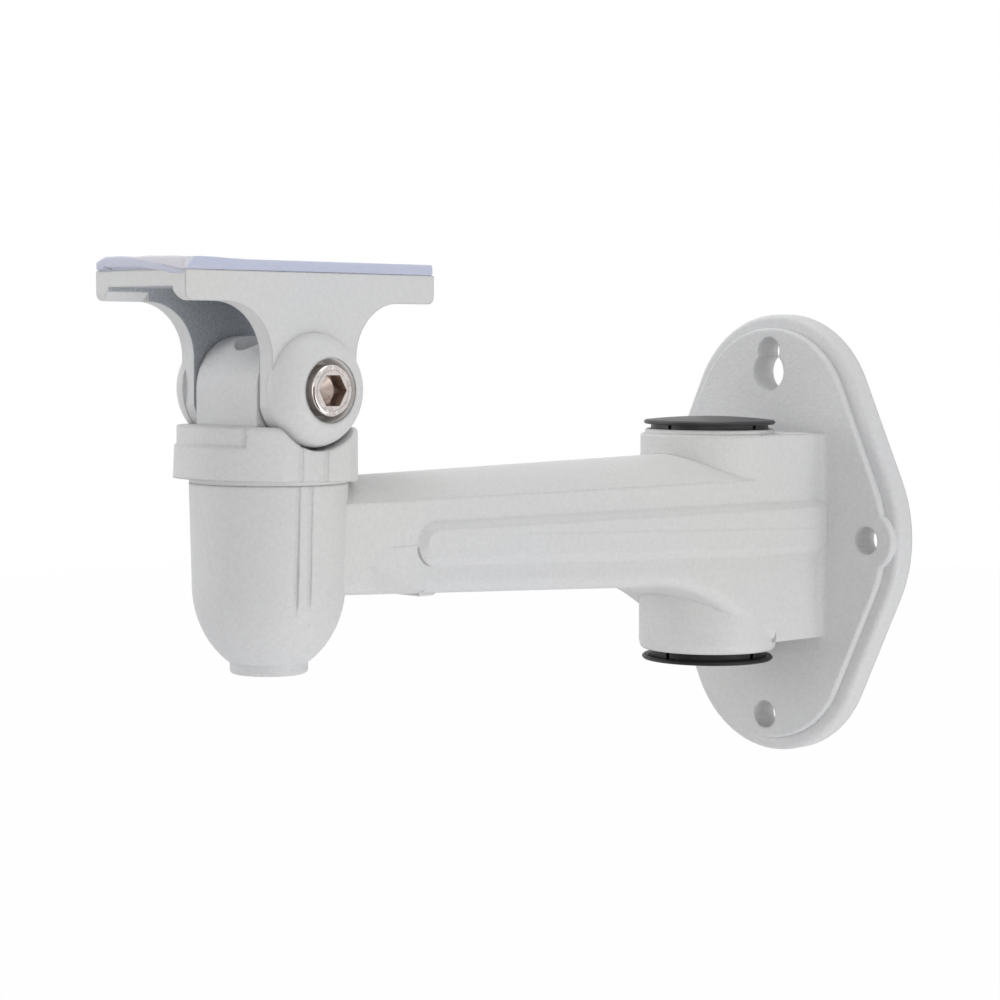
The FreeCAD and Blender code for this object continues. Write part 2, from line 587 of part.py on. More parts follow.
# ---------------------------------------------------------------- swivel post
def collar():
    """Disc with two flats and a shallow step round its front; it leans back a little."""
    height = size("collar_height")
    top_radius = collarRadius - size("collar_draft")
    disc = Part.makeCone(collarRadius, top_radius, height)
    disc = disc.common(Part.makeBox(2 * collarFlat, 2 * beyond, beyond,
                                    Vector(-collarFlat, -beyond, 0)))
    rim = edges_at(disc, lambda p: p.z > height - 0.01)
    disc = disc.makeFillet(size("collar_round"), rim)
    ledge = height - size("notch_drop")
    reach = top_radius - size("notch_depth")
    outside = collarRadius + 2
    notch = polygon_face([
        Vector(reach, 0, ledge + size("notch_slope")), Vector(reach, 0, height + 1),
        Vector(outside, 0, height + 1), Vector(outside, 0, ledge),
        Vector(collarRadius, 0, ledge)])
    notch = notch.revolve(Vector(0, 0, 0), Vector(0, 0, 1), -size("notch_turn"))
    notch.rotate(Vector(0, 0, 0), Vector(0, 0, 1), -size("notch_start"))
    axis = collarFlat + size("collar_groove_radius") - size("collar_groove_depth")
    grooves = [cylinder(size("collar_groove_radius"), beyond, Vector(side * axis, y, -1),
                        Vector(0, 0, 1))
               for side in (1, -1)
               for y in (-size("collar_groove_front"), size("collar_groove_back"))]
    disc = disc.cut([notch] + grooves)
    disc.Placement = Placement(Vector(0, -size("collar_offset"), collarFoot),
                               Rotation(Vector(1, 0, 0), -size("collar_lean")))
    return disc


def swivel_post():
    stem_foot = -size("cup_floor") + size("thrust_washer_thickness") + size("washer_play")
    stem = cylinder(cupBore - size("post_clearance"), collarFoot - stem_foot + 1,
                    Vector(0, 0, stem_foot), Vector(0, 0, 1))
    shoulder_foot = size("cup_rim") + size("collar_gap")
    shoulder = cylinder(size("cup_radius") - size("shoulder_inset"),
                        collarFoot - shoulder_foot + 1, Vector(0, 0, shoulder_foot),
                        Vector(0, 0, 1))
    half = size("tongue_half_width")
    depth = size("tongue_radius")
    shank = Part.makeBox(2 * half, 2 * depth, tiltZ - collarFoot - 1,
                         Vector(-half, -depth, collarFoot + 1))
    crown = cylinder(depth, 2 * half, Vector(-half, 0, tiltZ), Vector(1, 0, 0))
    hollow = cylinder(earSwing + size("scallop_clearance"), beyond, Vector(half, 0, tiltZ),
                      Vector(1, 0, 0))
    body = collar().cut(both_sides(hollow)).fuse([stem, shoulder, shank, crown]).removeSplitter()
    slot = slot_cutter(size("crown_slot_width"), size("crown_slot_length"),
                       tiltZ + size("crown_slot_floor"))
    tilt_hole = cylinder(screwHole, 2 * beyond, Vector(-beyond, 0, tiltZ), Vector(1, 0, 0))
    thread = cylinder(size("screw_radius") + size("thread_clearance"), size("thread_depth"),
                      Vector(0, 0, stem_foot), Vector(0, 0, 1))
    return body.cut([slot, tilt_hole, thread])


# ---------------------------------------------------------------- tilt bracket
def ear_profile(x):
    """Side view of table and ears, drawn about the tilt axis."""
    half = size("table_length") / 2
    top = size("table_top")
    skirt = top - size("table_skirt")
    ear = size("ear_half_depth")
    radius = size("ear_arc_radius")
    nook = radius * (1 - math.sqrt(0.5))
    right = [Vector(x, half, top), Vector(x, half, skirt), Vector(x, ear + radius, skirt),
             Vector(x, ear + nook, skirt - nook), Vector(x, ear, skirt - radius),
             Vector(x, ear, -size("ear_straight"))]
    left = [Vector(x, -p.y, p.z) for p in right]
    return Part.Face(Part.Wire([
        line(left[0], right[0]), line(right[0], right[1]), line(right[1], right[2]),
        arc(right[2], right[3], right[4]), line(right[4], right[5]),
        arc(right[5], Vector(x, 0, -size("ear_foot")), left[5]), line(left[5], left[4]),
        arc(left[4], left[3], left[2]), line(left[2], left[1]), line(left[1], left[0])]))


def boss():
    """Domed boss on an ear's outer face."""
    foot, face = size("ear_boss_radius"), bossFaceRadius
    height = size("ear_boss_height")
    slope = Vector(height, 0, face - foot)
    out = Vector(foot - face, 0, height).normalize()
    middle = Vector(0, 0, foot) + slope * 0.5 + out * size("ear_boss_bulge")
    outline = Part.Wire([
        line(Vector(-1, 0, 0), Vector(-1, 0, foot)), line(Vector(-1, 0, foot), Vector(0, 0, foot)),
        arc(Vector(0, 0, foot), middle, Vector(height, 0, face)),
        line(Vector(height, 0, face), Vector(height, 0, 0)),
        line(Vector(height, 0, 0), Vector(-1, 0, 0))])
    body = Part.Face(outline).revolve(Vector(0, 0, 0), Vector(1, 0, 0), 360)
    rim = edges_at(body, lambda p: p.x > height - 0.01 and math.hypot(p.y, p.z) > face - 0.1)
    body = body.makeFillet(size("ear_boss_round"), rim)
    body.translate(Vector(earOuter, 0, 0))
    return body


def skirt_bevels():
    """Cutters for the inner lower edges of the table's side walls, from ear to end."""
    skirt = size("table_top") - size("table_skirt")
    bevel = size("skirt_chamfer")
    start = size("ear_half_depth") + size("ear_arc_radius")
    profile = [Vector(earInner - 0.2, start, skirt + bevel + 0.2),
               Vector(earInner - 0.2, start, skirt - 1),
               Vector(earInner + bevel + 1, start, skirt - 1)]
    cutter = both_sides(polygon_face(profile).extrude(Vector(0, beyond, 0)))
    return [cutter, mirrored(cutter, Vector(0, 1, 0))]


def slot_cutter(width, length, foot):
    """Upright round-ended slot that runs along Y."""
    half, run = width / 2, length - width
    cutter = Part.makeBox(width, run, beyond, Vector(-half, -run / 2, foot))
    ends = [cylinder(half, beyond, Vector(0, y, foot), Vector(0, 0, 1))
            for y in (-run / 2, run / 2)]
    return cutter.fuse(ends).removeSplitter()


def tilt_bracket():
    body = ear_profile(-earOuter).extrude(Vector(2 * earOuter, 0, 0))
    half = size("table_length") / 2
    ends = edges_at(body, lambda p: abs(p.y) > half - 0.01 and p.z < size("table_top") - 0.1)
    ends = [edge for edge in ends if edge.BoundBox.XLength > 1]
    body = body.makeFillet(size("table_round"), ends)
    under = size("table_top") - size("table_web")
    gap = Part.makeBox(2 * earInner, 2 * beyond, beyond, Vector(-earInner, -beyond, under - beyond))
    body = body.cut([gap] + skirt_bevels()).fuse(both_sides(boss()))
    tilt_hole = cylinder(screwHole, 2 * beyond, Vector(-beyond, 0, 0), Vector(1, 0, 0))
    head_pocket = cylinder(headPocket, beyond, Vector(tiltSeat, 0, 0), Vector(1, 0, 0))
    turns = [math.radians(60 * k) for k in range(6)]
    corners = [Vector(0, nutPocket * math.cos(turn), nutPocket * math.sin(turn))
               for turn in turns]
    nut_pocket = polygon_face(corners).extrude(Vector(-beyond, 0, 0))
    nut_pocket.translate(Vector(-nutSeat, 0, 0))
    slot = slot_cutter(size("camera_slot_width"), size("camera_slot_length"), under - 1)
    return body.cut([tilt_hole, head_pocket, nut_pocket, slot])


# ---------------------------------------------------------------- small pieces
def plug():
    """Domed disc with a ring of snap fingers; the disc's underside is at zero."""
    radius = size("hub_radius") - size("plug_inset")
    rim = size("plug_rim")
    dome = size("plug_dome")
    edge = size("plug_edge")
    reach = radius - edge
    ball = (reach ** 2 + dome ** 2) / (2 * dome)
    bend = Vector(reach / 2, 0, rim + dome - ball + math.sqrt(ball ** 2 - reach ** 2 / 4))
    foot, low_side = Vector(reach, 0, 0), Vector(radius, 0, edge)
    high_side, shoulder = Vector(radius, 0, rim - edge), Vector(reach, 0, rim)
    crown = Vector(0, 0, rim + dome)
    outline = Part.Wire([
        line(Vector(0, 0, 0), foot), line(foot, low_side), line(low_side, high_side),
        line(high_side, shoulder), arc(shoulder, bend, crown), line(crown, Vector(0, 0, 0))])
    disc = Part.Face(outline).revolve(Vector(0, 0, 0), Vector(0, 0, 1), 360)
    down = Vector(0, 0, -1)
    outer = hubBore - size("plug_clearance")
    length = size("plug_ring_length")
    snap_ring = cylinder(outer, length + 0.1, Vector(0, 0, 0.1), down)
    hollow = cylinder(outer - size("plug_ring_wall"), length + 1, Vector(0, 0, 0), down)
    count = int(size("plug_finger_count"))
    gap_width = size("plug_slot_width")
    gaps = []
    for k in range(count):
        gap = Part.makeBox(beyond, gap_width, length + 1, Vector(0, -gap_width / 2, -length - 1))
        gap.rotate(Vector(0, 0, 0), Vector(0, 0, 1), 360 * k / count)
        gaps.append(gap)
    return disc.fuse(snap_ring.cut([hollow] + gaps)).removeSplitter()


# ---------------------------------------------------------------- the document
pieces = []


def place(piece, label, placement):
    piece.Label = label
    piece.Placement = placement
    pieces.append(piece)
    return piece


def shaped(label, shape, placement):
    """A sub-part whose shape is worked out above."""
    piece = doc.addObject("Part::Feature", label)
    piece.Shape = shape
    return place(piece, label, placement)


def primitive(kind, name, sizes):
    """A primitive whose sizes follow the sheet."""
    piece = doc.addObject(kind, name)
    for prop, formula in sizes.items():
        piece.setExpression(prop, formula)
    return piece


def joined(kind, name, first, second):
    piece = doc.addObject(kind, name)
    piece.Base = first
    piece.Tool = second
    return piece


def socket_screw(label, length, placement):
    """Socket head screw: head above zero, shank below."""
    head = primitive("Part::Cylinder", label + "_head", {
        "Radius": "Sizes.screw_head_radius",
        "Height": "Sizes.screw_head_height - Sizes.screw_head_chamfer"})
    rim = primitive("Part::Cone", label + "_rim", {
        "Radius1": "Sizes.screw_head_radius",
        "Radius2": "Sizes.screw_head_radius - Sizes.screw_head_chamfer",
        "Height": "Sizes.screw_head_chamfer",
        "Placement.Base.z": "Sizes.screw_head_height - Sizes.screw_head_chamfer"})
    shank = primitive("Part::Cylinder", label + "_shank", {
        "Radius": "Sizes.screw_radius",
        "Height": "Sizes.%s + Sizes.screw_head_chamfer" % length,
        "Placement.Base.z": "-Sizes.%s" % length})
    socket = primitive("Part::Prism", label + "_socket", {
        "Circumradius": "Sizes.hex_key / 2 / cos(30 deg)",
        "Height": "Sizes.hex_depth + 1",
        "Placement.Base.z": "Sizes.screw_head_height - Sizes.hex_depth"})
    drill = primitive("Part::Cone", label + "_drill", {
        "Radius1": "0",
        "Radius2": "Sizes.hex_key / 2",
        "Height": "Sizes.hex_key / 2 * tan(30 deg)",
        "Placement.Base.z": "Sizes.screw_head_height - Sizes.hex_depth"
                            " - Sizes.hex_key / 2 * tan(30 deg)"})
    solid = union(label + "_solid", [head, rim, shank])
    hollow = union(label + "_hollow", [socket, drill])
    return place(joined("Part::Cut", label, solid, hollow), label, placement)


def union(name, shapes):
    piece = doc.addObject("Part::MultiFuse", name)
    piece.Shapes = shapes
    return piece


def tube(name, outer, inner, thickness):
    """Plain ring of two primitives, from zero upwards."""
    disc = primitive("Part::Cylinder", name + "_disc", {"Radius": outer, "Height": thickness})
    bore = primitive("Part::Cylinder", name + "_bore", {
        "Radius": inner, "Height": "2 * (%s)" % thickness,
        "Placement.Base.z": "-(%s) / 2" % thickness})
    return joined("Part::Cut", name, disc, bore)


def spring_washer(label, placement):
    """Ring with a slanting split."""
    radius = "Sizes.screw_head_radius + Sizes.head_clearance - Sizes.spring_washer_clearance"
    solid = tube(label + "_ring", radius, "Sizes.screw_radius + Sizes.screw_clearance",
                 "Sizes.spring_washer_thickness")
    split = primitive("Part::Box", label + "_split", {
        "Length": "2 * Sizes.screw_head_radius", "Width": "Sizes.spring_washer_split",
        "Height": "6 * Sizes.spring_washer_thickness"})
    start = Vector(0, -size("spring_washer_split") / 2, -3 * size("spring_washer_thickness"))
    split.Placement = Placement(Vector(0, 0, 0), Rotation(
        Vector(1, 0, 0), size("spring_washer_slant"))) * Placement(start, Rotation())
    return place(joined("Part::Cut", label, solid, split), label, placement)


def camera_pad(label, placement):
    """Foam sheet as large as the table, with the slot for the camera's screw."""
    inside = "Sizes.tongue_half_width + Sizes.side_washer_thickness + 2 * Sizes.washer_play"
    half_width = "(%s + Sizes.ear_wall)" % inside
    sheet_box = primitive("Part::Box", label + "_sheet", {
        "Length": "2 * " + half_width, "Width": "Sizes.table_length",
        "Height": "Sizes.pad_thickness", "Placement.Base.x": "-" + half_width,
        "Placement.Base.y": "-Sizes.table_length / 2"})
    run = "(Sizes.camera_slot_length - Sizes.camera_slot_width)"
    middle = primitive("Part::Box", label + "_slot", {
        "Length": "Sizes.camera_slot_width", "Width": run, "Height": "3 * Sizes.pad_thickness",
        "Placement.Base.x": "-Sizes.camera_slot_width / 2",
        "Placement.Base.y": "-%s / 2" % run, "Placement.Base.z": "-Sizes.pad_thickness"})
    ends = [primitive("Part::Cylinder", label + name, {
        "Radius": "Sizes.camera_slot_width / 2", "Height": "3 * Sizes.pad_thickness",
        "Placement.Base.y": "%s%s / 2" % (sign, run),
        "Placement.Base.z": "-Sizes.pad_thickness"})
        for name, sign in (("_slot_front", "-"), ("_slot_back", ""))]
    slot = union(label + "_slot_cutter", [middle] + ends)
    return place(joined("Part::Cut", label, sheet_box, slot), label, placement)


def side_washers(label, placement):
    """The two nylon washers, one on each side of the tongue."""
    sides = []
    for name, start in (("_right", "Sizes.tongue_half_width + Sizes.washer_play"),
                        ("_left", "-(Sizes.tongue_half_width + Sizes.washer_play"
                                  " + Sizes.side_washer_thickness)")):
        washer = tube(label + name, "Sizes.tongue_radius - Sizes.side_washer_inset",
                      "Sizes.screw_radius + Sizes.screw_clearance",
                      "Sizes.side_washer_thickness")
        washer.Placement.Rotation = Rotation(Vector(0, 1, 0), 90)
        washer.setExpression("Placement.Base.x", start)
        sides.append(washer)
    pair = doc.addObject("Part::Compound", label)
    pair.Links = sides
    return place(pair, label, placement)


def ring(label, outer, inner, thickness, placement):
    """Washer: a body padded from two circles on its own ground plane."""
    body = doc.addObject("PartDesign::Body", label)
    sketch = body.newObject("Sketcher::SketchObject", label + "_circles")
    ground = [p for p in body.Origin.OriginFeatures if p.Role == "XY_Plane"][0]
    sketch.AttachmentSupport = (ground, "")
    sketch.MapMode = "FlatFace"
    for index, formula in enumerate((outer, inner)):
        circle = Part.Circle(Vector(0, 0, 0), Vector(0, 0, 1), 5.0 - index)
        number = sketch.addGeometry(circle, False)
        sketch.addConstraint(Sketcher.Constraint("Coincident", number, 3, -1, 1))
        radius = sketch.addConstraint(Sketcher.Constraint("Radius", number, 5.0 - index))
        sketch.setExpression("Constraints[%d]" % radius, formula)
    pad = body.newObject("PartDesign::Pad", label + "_pad")
    pad.Profile = sketch
    pad.setExpression("Length", thickness)
    return place(body, label, placement)


def nut(label, placement):
    hexagon = primitive("Part::Prism", label + "_hexagon", {
        "Circumradius": "Sizes.nut_key / 2 / cos(30 deg)", "Height": "Sizes.nut_height"})
    bore = primitive("Part::Cylinder", label + "_bore", {
        "Radius": "Sizes.screw_radius + Sizes.thread_clearance",
        "Height": "Sizes.nut_height"})
    return place(joined("Part::Cut", label, hexagon, bore), label, placement)


upright = Rotation()
upsideDown = Rotation(Vector(1, 0, 0), 180)
alongTilt = Rotation(Vector(0, 1, 0), 90) * Rotation(Vector(0, 0, 1), 30)
tiltCentre = Vector(0, cupY, tiltZ)
plugHeight = size("hub_top") + size("hub_lip_height") + size("upper_plug_gap")
plugDepth = size("hub_foot") + size("lower_plug_gap")
flatWasherFoot = panHeadUnder + size("spring_washer_thickness")

shaped("arm_casting", arm_casting(), Placement())
shaped("swivel_post", swivel_post(), Placement(Vector(0, cupY, 0), upright))
shaped("tilt_bracket", tilt_bracket(), Placement(tiltCentre, upright))
camera_pad("camera_pad", Placement(Vector(0, cupY, tableTop), upright))
shaped("upper_plug", plug(), Placement(Vector(0, hubY, plugHeight), upright))
shaped("lower_plug", plug(), Placement(Vector(0, hubY, -plugDepth), upsideDown))
socket_screw("pan_screw", "pan_screw_length",
             Placement(Vector(0, cupY, panHeadUnder), upsideDown))
spring_washer("pan_spring_washer", Placement(Vector(0, cupY, panHeadUnder), upright))
ring("pan_flat_washer",
     "Sizes.screw_head_radius + Sizes.head_clearance - Sizes.flat_washer_clearance",
     "Sizes.screw_radius + Sizes.screw_clearance", "Sizes.flat_washer_thickness",
     Placement(Vector(0, cupY, flatWasherFoot), upright))
ring("pan_thrust_washer",
     "Sizes.cup_radius - Sizes.cup_wall - Sizes.thrust_washer_clearance",
     "Sizes.thrust_washer_hole_radius", "Sizes.thrust_washer_thickness",
     Placement(Vector(0, cupY, -size("cup_floor")), upright))
socket_screw("tilt_screw", "tilt_screw_length",
             Placement(tiltCentre + Vector(tiltSeat, 0, 0), alongTilt))
nut("tilt_nut", Placement(tiltCentre - Vector(nutSeat + size("nut_height"), 0, 0), alongTilt))
side_washers("tilt_side_washers", Placement(tiltCentre, upright))

doc.recompute()
for item in doc.Objects:
    if "Invalid" in item.State or "Error" in item.State:
        raise RuntimeError("%s did not build: %s" % (item.Name, item.State))
os.makedirs("parts", exist_ok=True)
for piece in pieces:
    if piece.Shape.isNull() or not piece.Shape.isValid():
        raise RuntimeError("%s has no sound shape" % piece.Label)
for piece in pieces:
    piece.Shape.exportStep("parts/%s.step" % piece.Label)
    box = piece.Shape.BoundBox
    print("%-18s solids %d volume %9.1f  x %.2f..%.2f y %.2f..%.2f z %.2f..%.2f" % (
        piece.Label, len(piece.Shape.Solids), piece.Shape.Volume, box.XMin, box.XMax,
        box.YMin, box.YMax, box.ZMin, box.ZMax))
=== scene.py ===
import json
import math

import bpy
import numpy as np
from mathutils import Matrix, Vector


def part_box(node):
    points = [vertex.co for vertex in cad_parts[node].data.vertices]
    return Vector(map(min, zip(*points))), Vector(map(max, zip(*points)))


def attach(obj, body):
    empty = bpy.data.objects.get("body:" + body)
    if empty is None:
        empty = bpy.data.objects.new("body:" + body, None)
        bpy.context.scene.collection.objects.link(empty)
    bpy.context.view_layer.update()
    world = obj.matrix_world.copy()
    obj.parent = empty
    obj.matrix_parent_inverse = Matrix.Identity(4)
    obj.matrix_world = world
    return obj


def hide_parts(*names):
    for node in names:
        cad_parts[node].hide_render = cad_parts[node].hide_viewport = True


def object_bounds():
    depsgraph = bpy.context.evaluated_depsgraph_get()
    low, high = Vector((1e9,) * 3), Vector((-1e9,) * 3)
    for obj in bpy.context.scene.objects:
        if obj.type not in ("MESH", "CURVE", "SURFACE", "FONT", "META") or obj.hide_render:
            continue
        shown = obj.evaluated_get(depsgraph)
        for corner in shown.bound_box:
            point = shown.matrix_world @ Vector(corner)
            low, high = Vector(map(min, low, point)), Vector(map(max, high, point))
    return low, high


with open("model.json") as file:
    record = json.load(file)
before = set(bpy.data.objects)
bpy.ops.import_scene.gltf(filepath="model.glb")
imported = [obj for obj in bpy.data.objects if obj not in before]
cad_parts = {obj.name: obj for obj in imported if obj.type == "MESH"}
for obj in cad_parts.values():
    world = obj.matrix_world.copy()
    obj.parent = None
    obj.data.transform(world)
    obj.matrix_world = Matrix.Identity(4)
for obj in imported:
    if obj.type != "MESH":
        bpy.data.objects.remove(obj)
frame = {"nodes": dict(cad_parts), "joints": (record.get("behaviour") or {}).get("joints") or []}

# Wall bracket for a security camera: finishes for the castings, screws and plugs, and a
# foam pad.  Metres, in the bracket's own frame: +Y into the wall, -Y out along the arm.

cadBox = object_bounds()
nodes = frame["nodes"]
axes = {joint["name"]: [float(c) for c in joint["pos_m"]] for joint in frame["joints"]
        if joint["name"] in ("pan", "tilt")}


def asList(box):
    return [[float(c) for c in corner] for corner in box]


# The one way to add a node.  Settings are set first, then the values or links of the sockets.
# It gives an output as a Wire, or the node itself where output is None.
def addNode(tree, kind, settings=None, inputs=None, output=0):
    node = tree.nodes.new(kind)
    for key, value in (settings or {}).items():
        setattr(node, key, value)
    for key, value in (inputs or {}).items():
        if isinstance(value, Wire):
            tree.links.new(value.socket, node.inputs[key])
        else:
            node.inputs[key].default_value = value
    return node if output is None else Wire(tree, node.outputs[output])


# A socket of a shader, on which sums are written as Python expressions.
class Wire:
    def __init__(self, tree, socket):
        self.tree = tree
        self.socket = socket

    def reckon(self, operation, *items, clamp=False):
        return addNode(self.tree, "ShaderNodeMath", {"operation": operation, "use_clamp": clamp},
                       dict(enumerate(items)))

    def __add__(self, other): return self.reckon("ADD", self, other)
    def __radd__(self, other): return self.reckon("ADD", other, self)
    def __sub__(self, other): return self.reckon("SUBTRACT", self, other)
    def __rsub__(self, other): return self.reckon("SUBTRACT", other, self)
    def __mul__(self, other): return self.reckon("MULTIPLY", self, other)
    def __rmul__(self, other): return self.reckon("MULTIPLY", other, self)
    def __truediv__(self, other): return self.reckon("DIVIDE", self, other)
    def __rtruediv__(self, other): return self.reckon("DIVIDE", other, self)
    def __abs__(self): return self.reckon("ABSOLUTE", self)
    def root(self): return self.reckon("POWER", self, 0.5)
    def sine(self): return self.reckon("SINE", self)
    def below(self, other): return self.reckon("LESS_THAN", self, other)
    def most(self, other): return self.reckon("MAXIMUM", self, other)
    def clamped(self): return self.reckon("ADD", self, 0.0, clamp=True)

    # 0 before start, 1 past end, straight between; start may be the larger.
    def ramp(self, start, end):
        return ((self - start) / (end - start)).clamped()

    # The same, eased at both ends.
    def step(self, start, end):
        share = self.ramp(start, end)
        return share * share * (3.0 - 2.0 * share)


# A material with one Principled shader.
class Finish:
    def __init__(self, name, **constants):
        self.material = bpy.data.materials.new(name)
        self.material.use_nodes = True
        self.tree = self.material.node_tree
        self.shader = self.tree.nodes["Principled BSDF"]
        for socket, value in constants.items():
            self.shader.inputs[socket.replace("_", " ")].default_value = value
        self.place = self.add("ShaderNodeTexCoord", output="Object")
        apart = self.add("ShaderNodeSeparateXYZ", inputs={0: self.place}, output=None)
        self.x, self.y, self.z = (Wire(self.tree, socket) for socket in apart.outputs)

    def add(self, kind, settings=None, inputs=None, output=0):
        return addNode(self.tree, kind, settings, inputs, output)

    def noise(self, scale, detail=2.0, rough=0.5, place=None):
        return self.add("ShaderNodeTexNoise", None, {
            "Vector": place or self.place, "Scale": scale, "Detail": detail,
            "Roughness": rough}, "Fac")

    def cells(self, scale, output="Distance"):
        return self.add("ShaderNodeTexVoronoi", None, {
            "Vector": self.place, "Scale": scale}, output)

    def mix(self, share, first, second):
        return self.add("ShaderNodeMix", {"data_type": "RGBA"}, {
            "Factor": share, 6: first, 7: second}, 2)

    # Distance from a line along X through (y, z).
    def around(self, y, z):
        dy, dz = self.y - y, self.z - z
        return (dy * dy + dz * dz).root()

    # Normal from a height in metres.
    def bump(self, height, base=None):
        inputs = {"Height": height, "Distance": 1.0, "Strength": 1.0}
        if base is not None:
            inputs["Normal"] = base
        return self.add("ShaderNodeBump", None, inputs)

    def feed(self, **sockets):
        for key, wire in sockets.items():
            self.tree.links.new(wire.socket, self.shader.inputs[key.replace("_", " ")])


# Mesh from a grid of points that closes on itself both ways.
def closedGrid(name, grid, smooth=True):
    rows, columns = grid.shape[:2]
    r, c = np.meshgrid(np.arange(rows), np.arange(columns), indexing="ij")
    nextR, nextC = (r + 1) % rows, (c + 1) % columns
    quads = np.stack([r * columns + c, nextR * columns + c, nextR * columns + nextC,
                      r * columns + nextC], -1).reshape(-1, 4)
    mesh = bpy.data.meshes.new(name)
    mesh.from_pydata(grid.reshape(-1, 3).tolist(), [], quads.tolist())
    mesh.update()
    mesh.polygons.foreach_set("use_smooth", np.full(len(quads), smooth))
    piece = bpy.data.objects.new(name, mesh)
    bpy.context.scene.collection.objects.link(piece)
    return piece


def shade(colour, strength=1.0):
    return (*(strength * c for c in colour), 1.0)


def dress(name, finish):
    slots = nodes[name].data.materials
    slots.clear()
    slots.append(finish.material)


# Powder coat of the castings.  A pair is where a mask starts and where it is full.
coatLook = {
    "colour": (0.652, 0.656, 0.666),
    "warm": (0.657, 0.653, 0.643),     # faint warm drift of the coat
    "driftScale": 14.0,
    "driftStep": (0.35, 0.75),
    "ior": 1.45,
    "roughness": 0.52,
    "roughnessSwing": 0.10,
    "peelSize": 0.0007,                # orange peel, crest to crest
    "peelDepth": 0.000100,
    "grainSize": 0.00026,
    "grainDepth": 0.000020,
    "mottle": 0.042,                   # fine unevenness of the coat's shade
    "mottleSize": 0.000875,
    "mottleStep": (0.35, 0.65),
    "edgeRound": 0.00085,              # coat drawn round the edges
    "edgeSamples": 6,
    "pocketPaintedLight": (0.88, 0.87, 0.85),  # painted light: lighter colour on the wall of a pocket, where shade falls
    "innerCoat": (0.375, 0.395, 0.425),     # darker, bluish coat between the tilt bracket's ears and under its table
    "innerCoatShades": (0.80, 1.18),        # its darkest and palest specks, as shares of it
    "innerCoatGrain": 0.00042,
    "innerCoatStep": (0.25, 0.75),
    "innerCoatDepth": 0.00006,
    "innerCoatRoughness": 0.2,
    "pit": (0.13, 0.12, 0.12),
    "pitSpacing": 0.0042,
    "pitRadii": (0.000195, 0.000065),  # rim and floor of a pit
    "pitShare": 0.035,                 # share of the pit places that hold one
    "pitStain": 0.85,
    "pitDepth": 0.00008,
    "creaseReach": 0.0012,
    "creaseSamples": 6,
    "creaseStep": (0.25, 0.6),
    "creaseShadePits": 0.2,                 # further share of the pit places in a crease found by ambient occlusion: partly real pits, partly painted crease shade
}


# Coat: colour drifts from cool to warm with slow noise and darkens a little with fine noise;
# height is orange peel noise plus grain noise; pits are the middles of a few Voronoi cells,
# with more of them where ambient occlusion finds a crease, partly real pits and partly painted
# crease shade.
# marks gives a stain from 0 to 1, a height in metres, a share of the darker, coarser coat between
# the ears, and a share of painted light, a lighter colour on a pocket's wall where shade falls.
def powderCoat(name, look, marks):
    coat = Finish(name, IOR=look["ior"])
    stain, lift, innerCoat, pocketLight = marks(coat)
    drift = coat.noise(look["driftScale"], 2.0).step(*look["driftStep"])
    even = coat.mix(drift, shade(look["colour"]), shade(look["warm"]))
    fine = coat.noise(1 / look["mottleSize"], 2.0, 0.6).step(*look["mottleStep"])
    spotted = coat.mix(fine * look["mottle"], even, shade((0.0, 0.0, 0.0)))
    # painted light: a pocket's wall is given a lighter colour, where shade falls
    tint = coat.mix(pocketLight, spotted, shade(look["pocketPaintedLight"]))
    rough = coat.noise(1 / look["innerCoatGrain"], 2.0, 0.7)
    darkest, palest = look["innerCoatShades"]
    speckled = coat.mix(rough.step(*look["innerCoatStep"]), shade(look["innerCoat"], darkest),
                        shade(look["innerCoat"], palest))
    peel = coat.noise(1 / look["peelSize"], 1.0)
    grain = coat.noise(1 / look["grainSize"], 2.0, 0.6)
    crease = 1.0 - coat.add("ShaderNodeAmbientOcclusion", {"samples": look["creaseSamples"]}, {
        "Distance": look["creaseReach"]}, "AO")
    lot = coat.add("ShaderNodeSeparateColor", None, {
        0: coat.cells(1 / look["pitSpacing"], "Color")})
    # partly painted shade: ambient occlusion finds the creases, where more dark pits are set
    share = look["pitShare"] + look["creaseShadePits"] * crease.step(*look["creaseStep"])
    rim, floor = (radius / look["pitSpacing"] for radius in look["pitRadii"])
    pit = coat.cells(1 / look["pitSpacing"]).step(rim, floor) * lot.below(share)
    dark = (pit * look["pitStain"] + stain).clamped()
    rounded = coat.add("ShaderNodeBevel", {"samples": look["edgeSamples"]}, {
        "Radius": look["edgeRound"]})
    height = peel * look["peelDepth"] + grain * look["grainDepth"] - pit * look["pitDepth"] \
        + innerCoat * rough * look["innerCoatDepth"] + lift
    coat.feed(Base_Color=coat.mix(dark, coat.mix(innerCoat, tint, speckled), shade(look["pit"])),
              Roughness=look["roughness"] + look["roughnessSwing"] * (grain - 0.5)
              + look["innerCoatRoughness"] * innerCoat,
              Normal=coat.bump(height, rounded))
    return coat


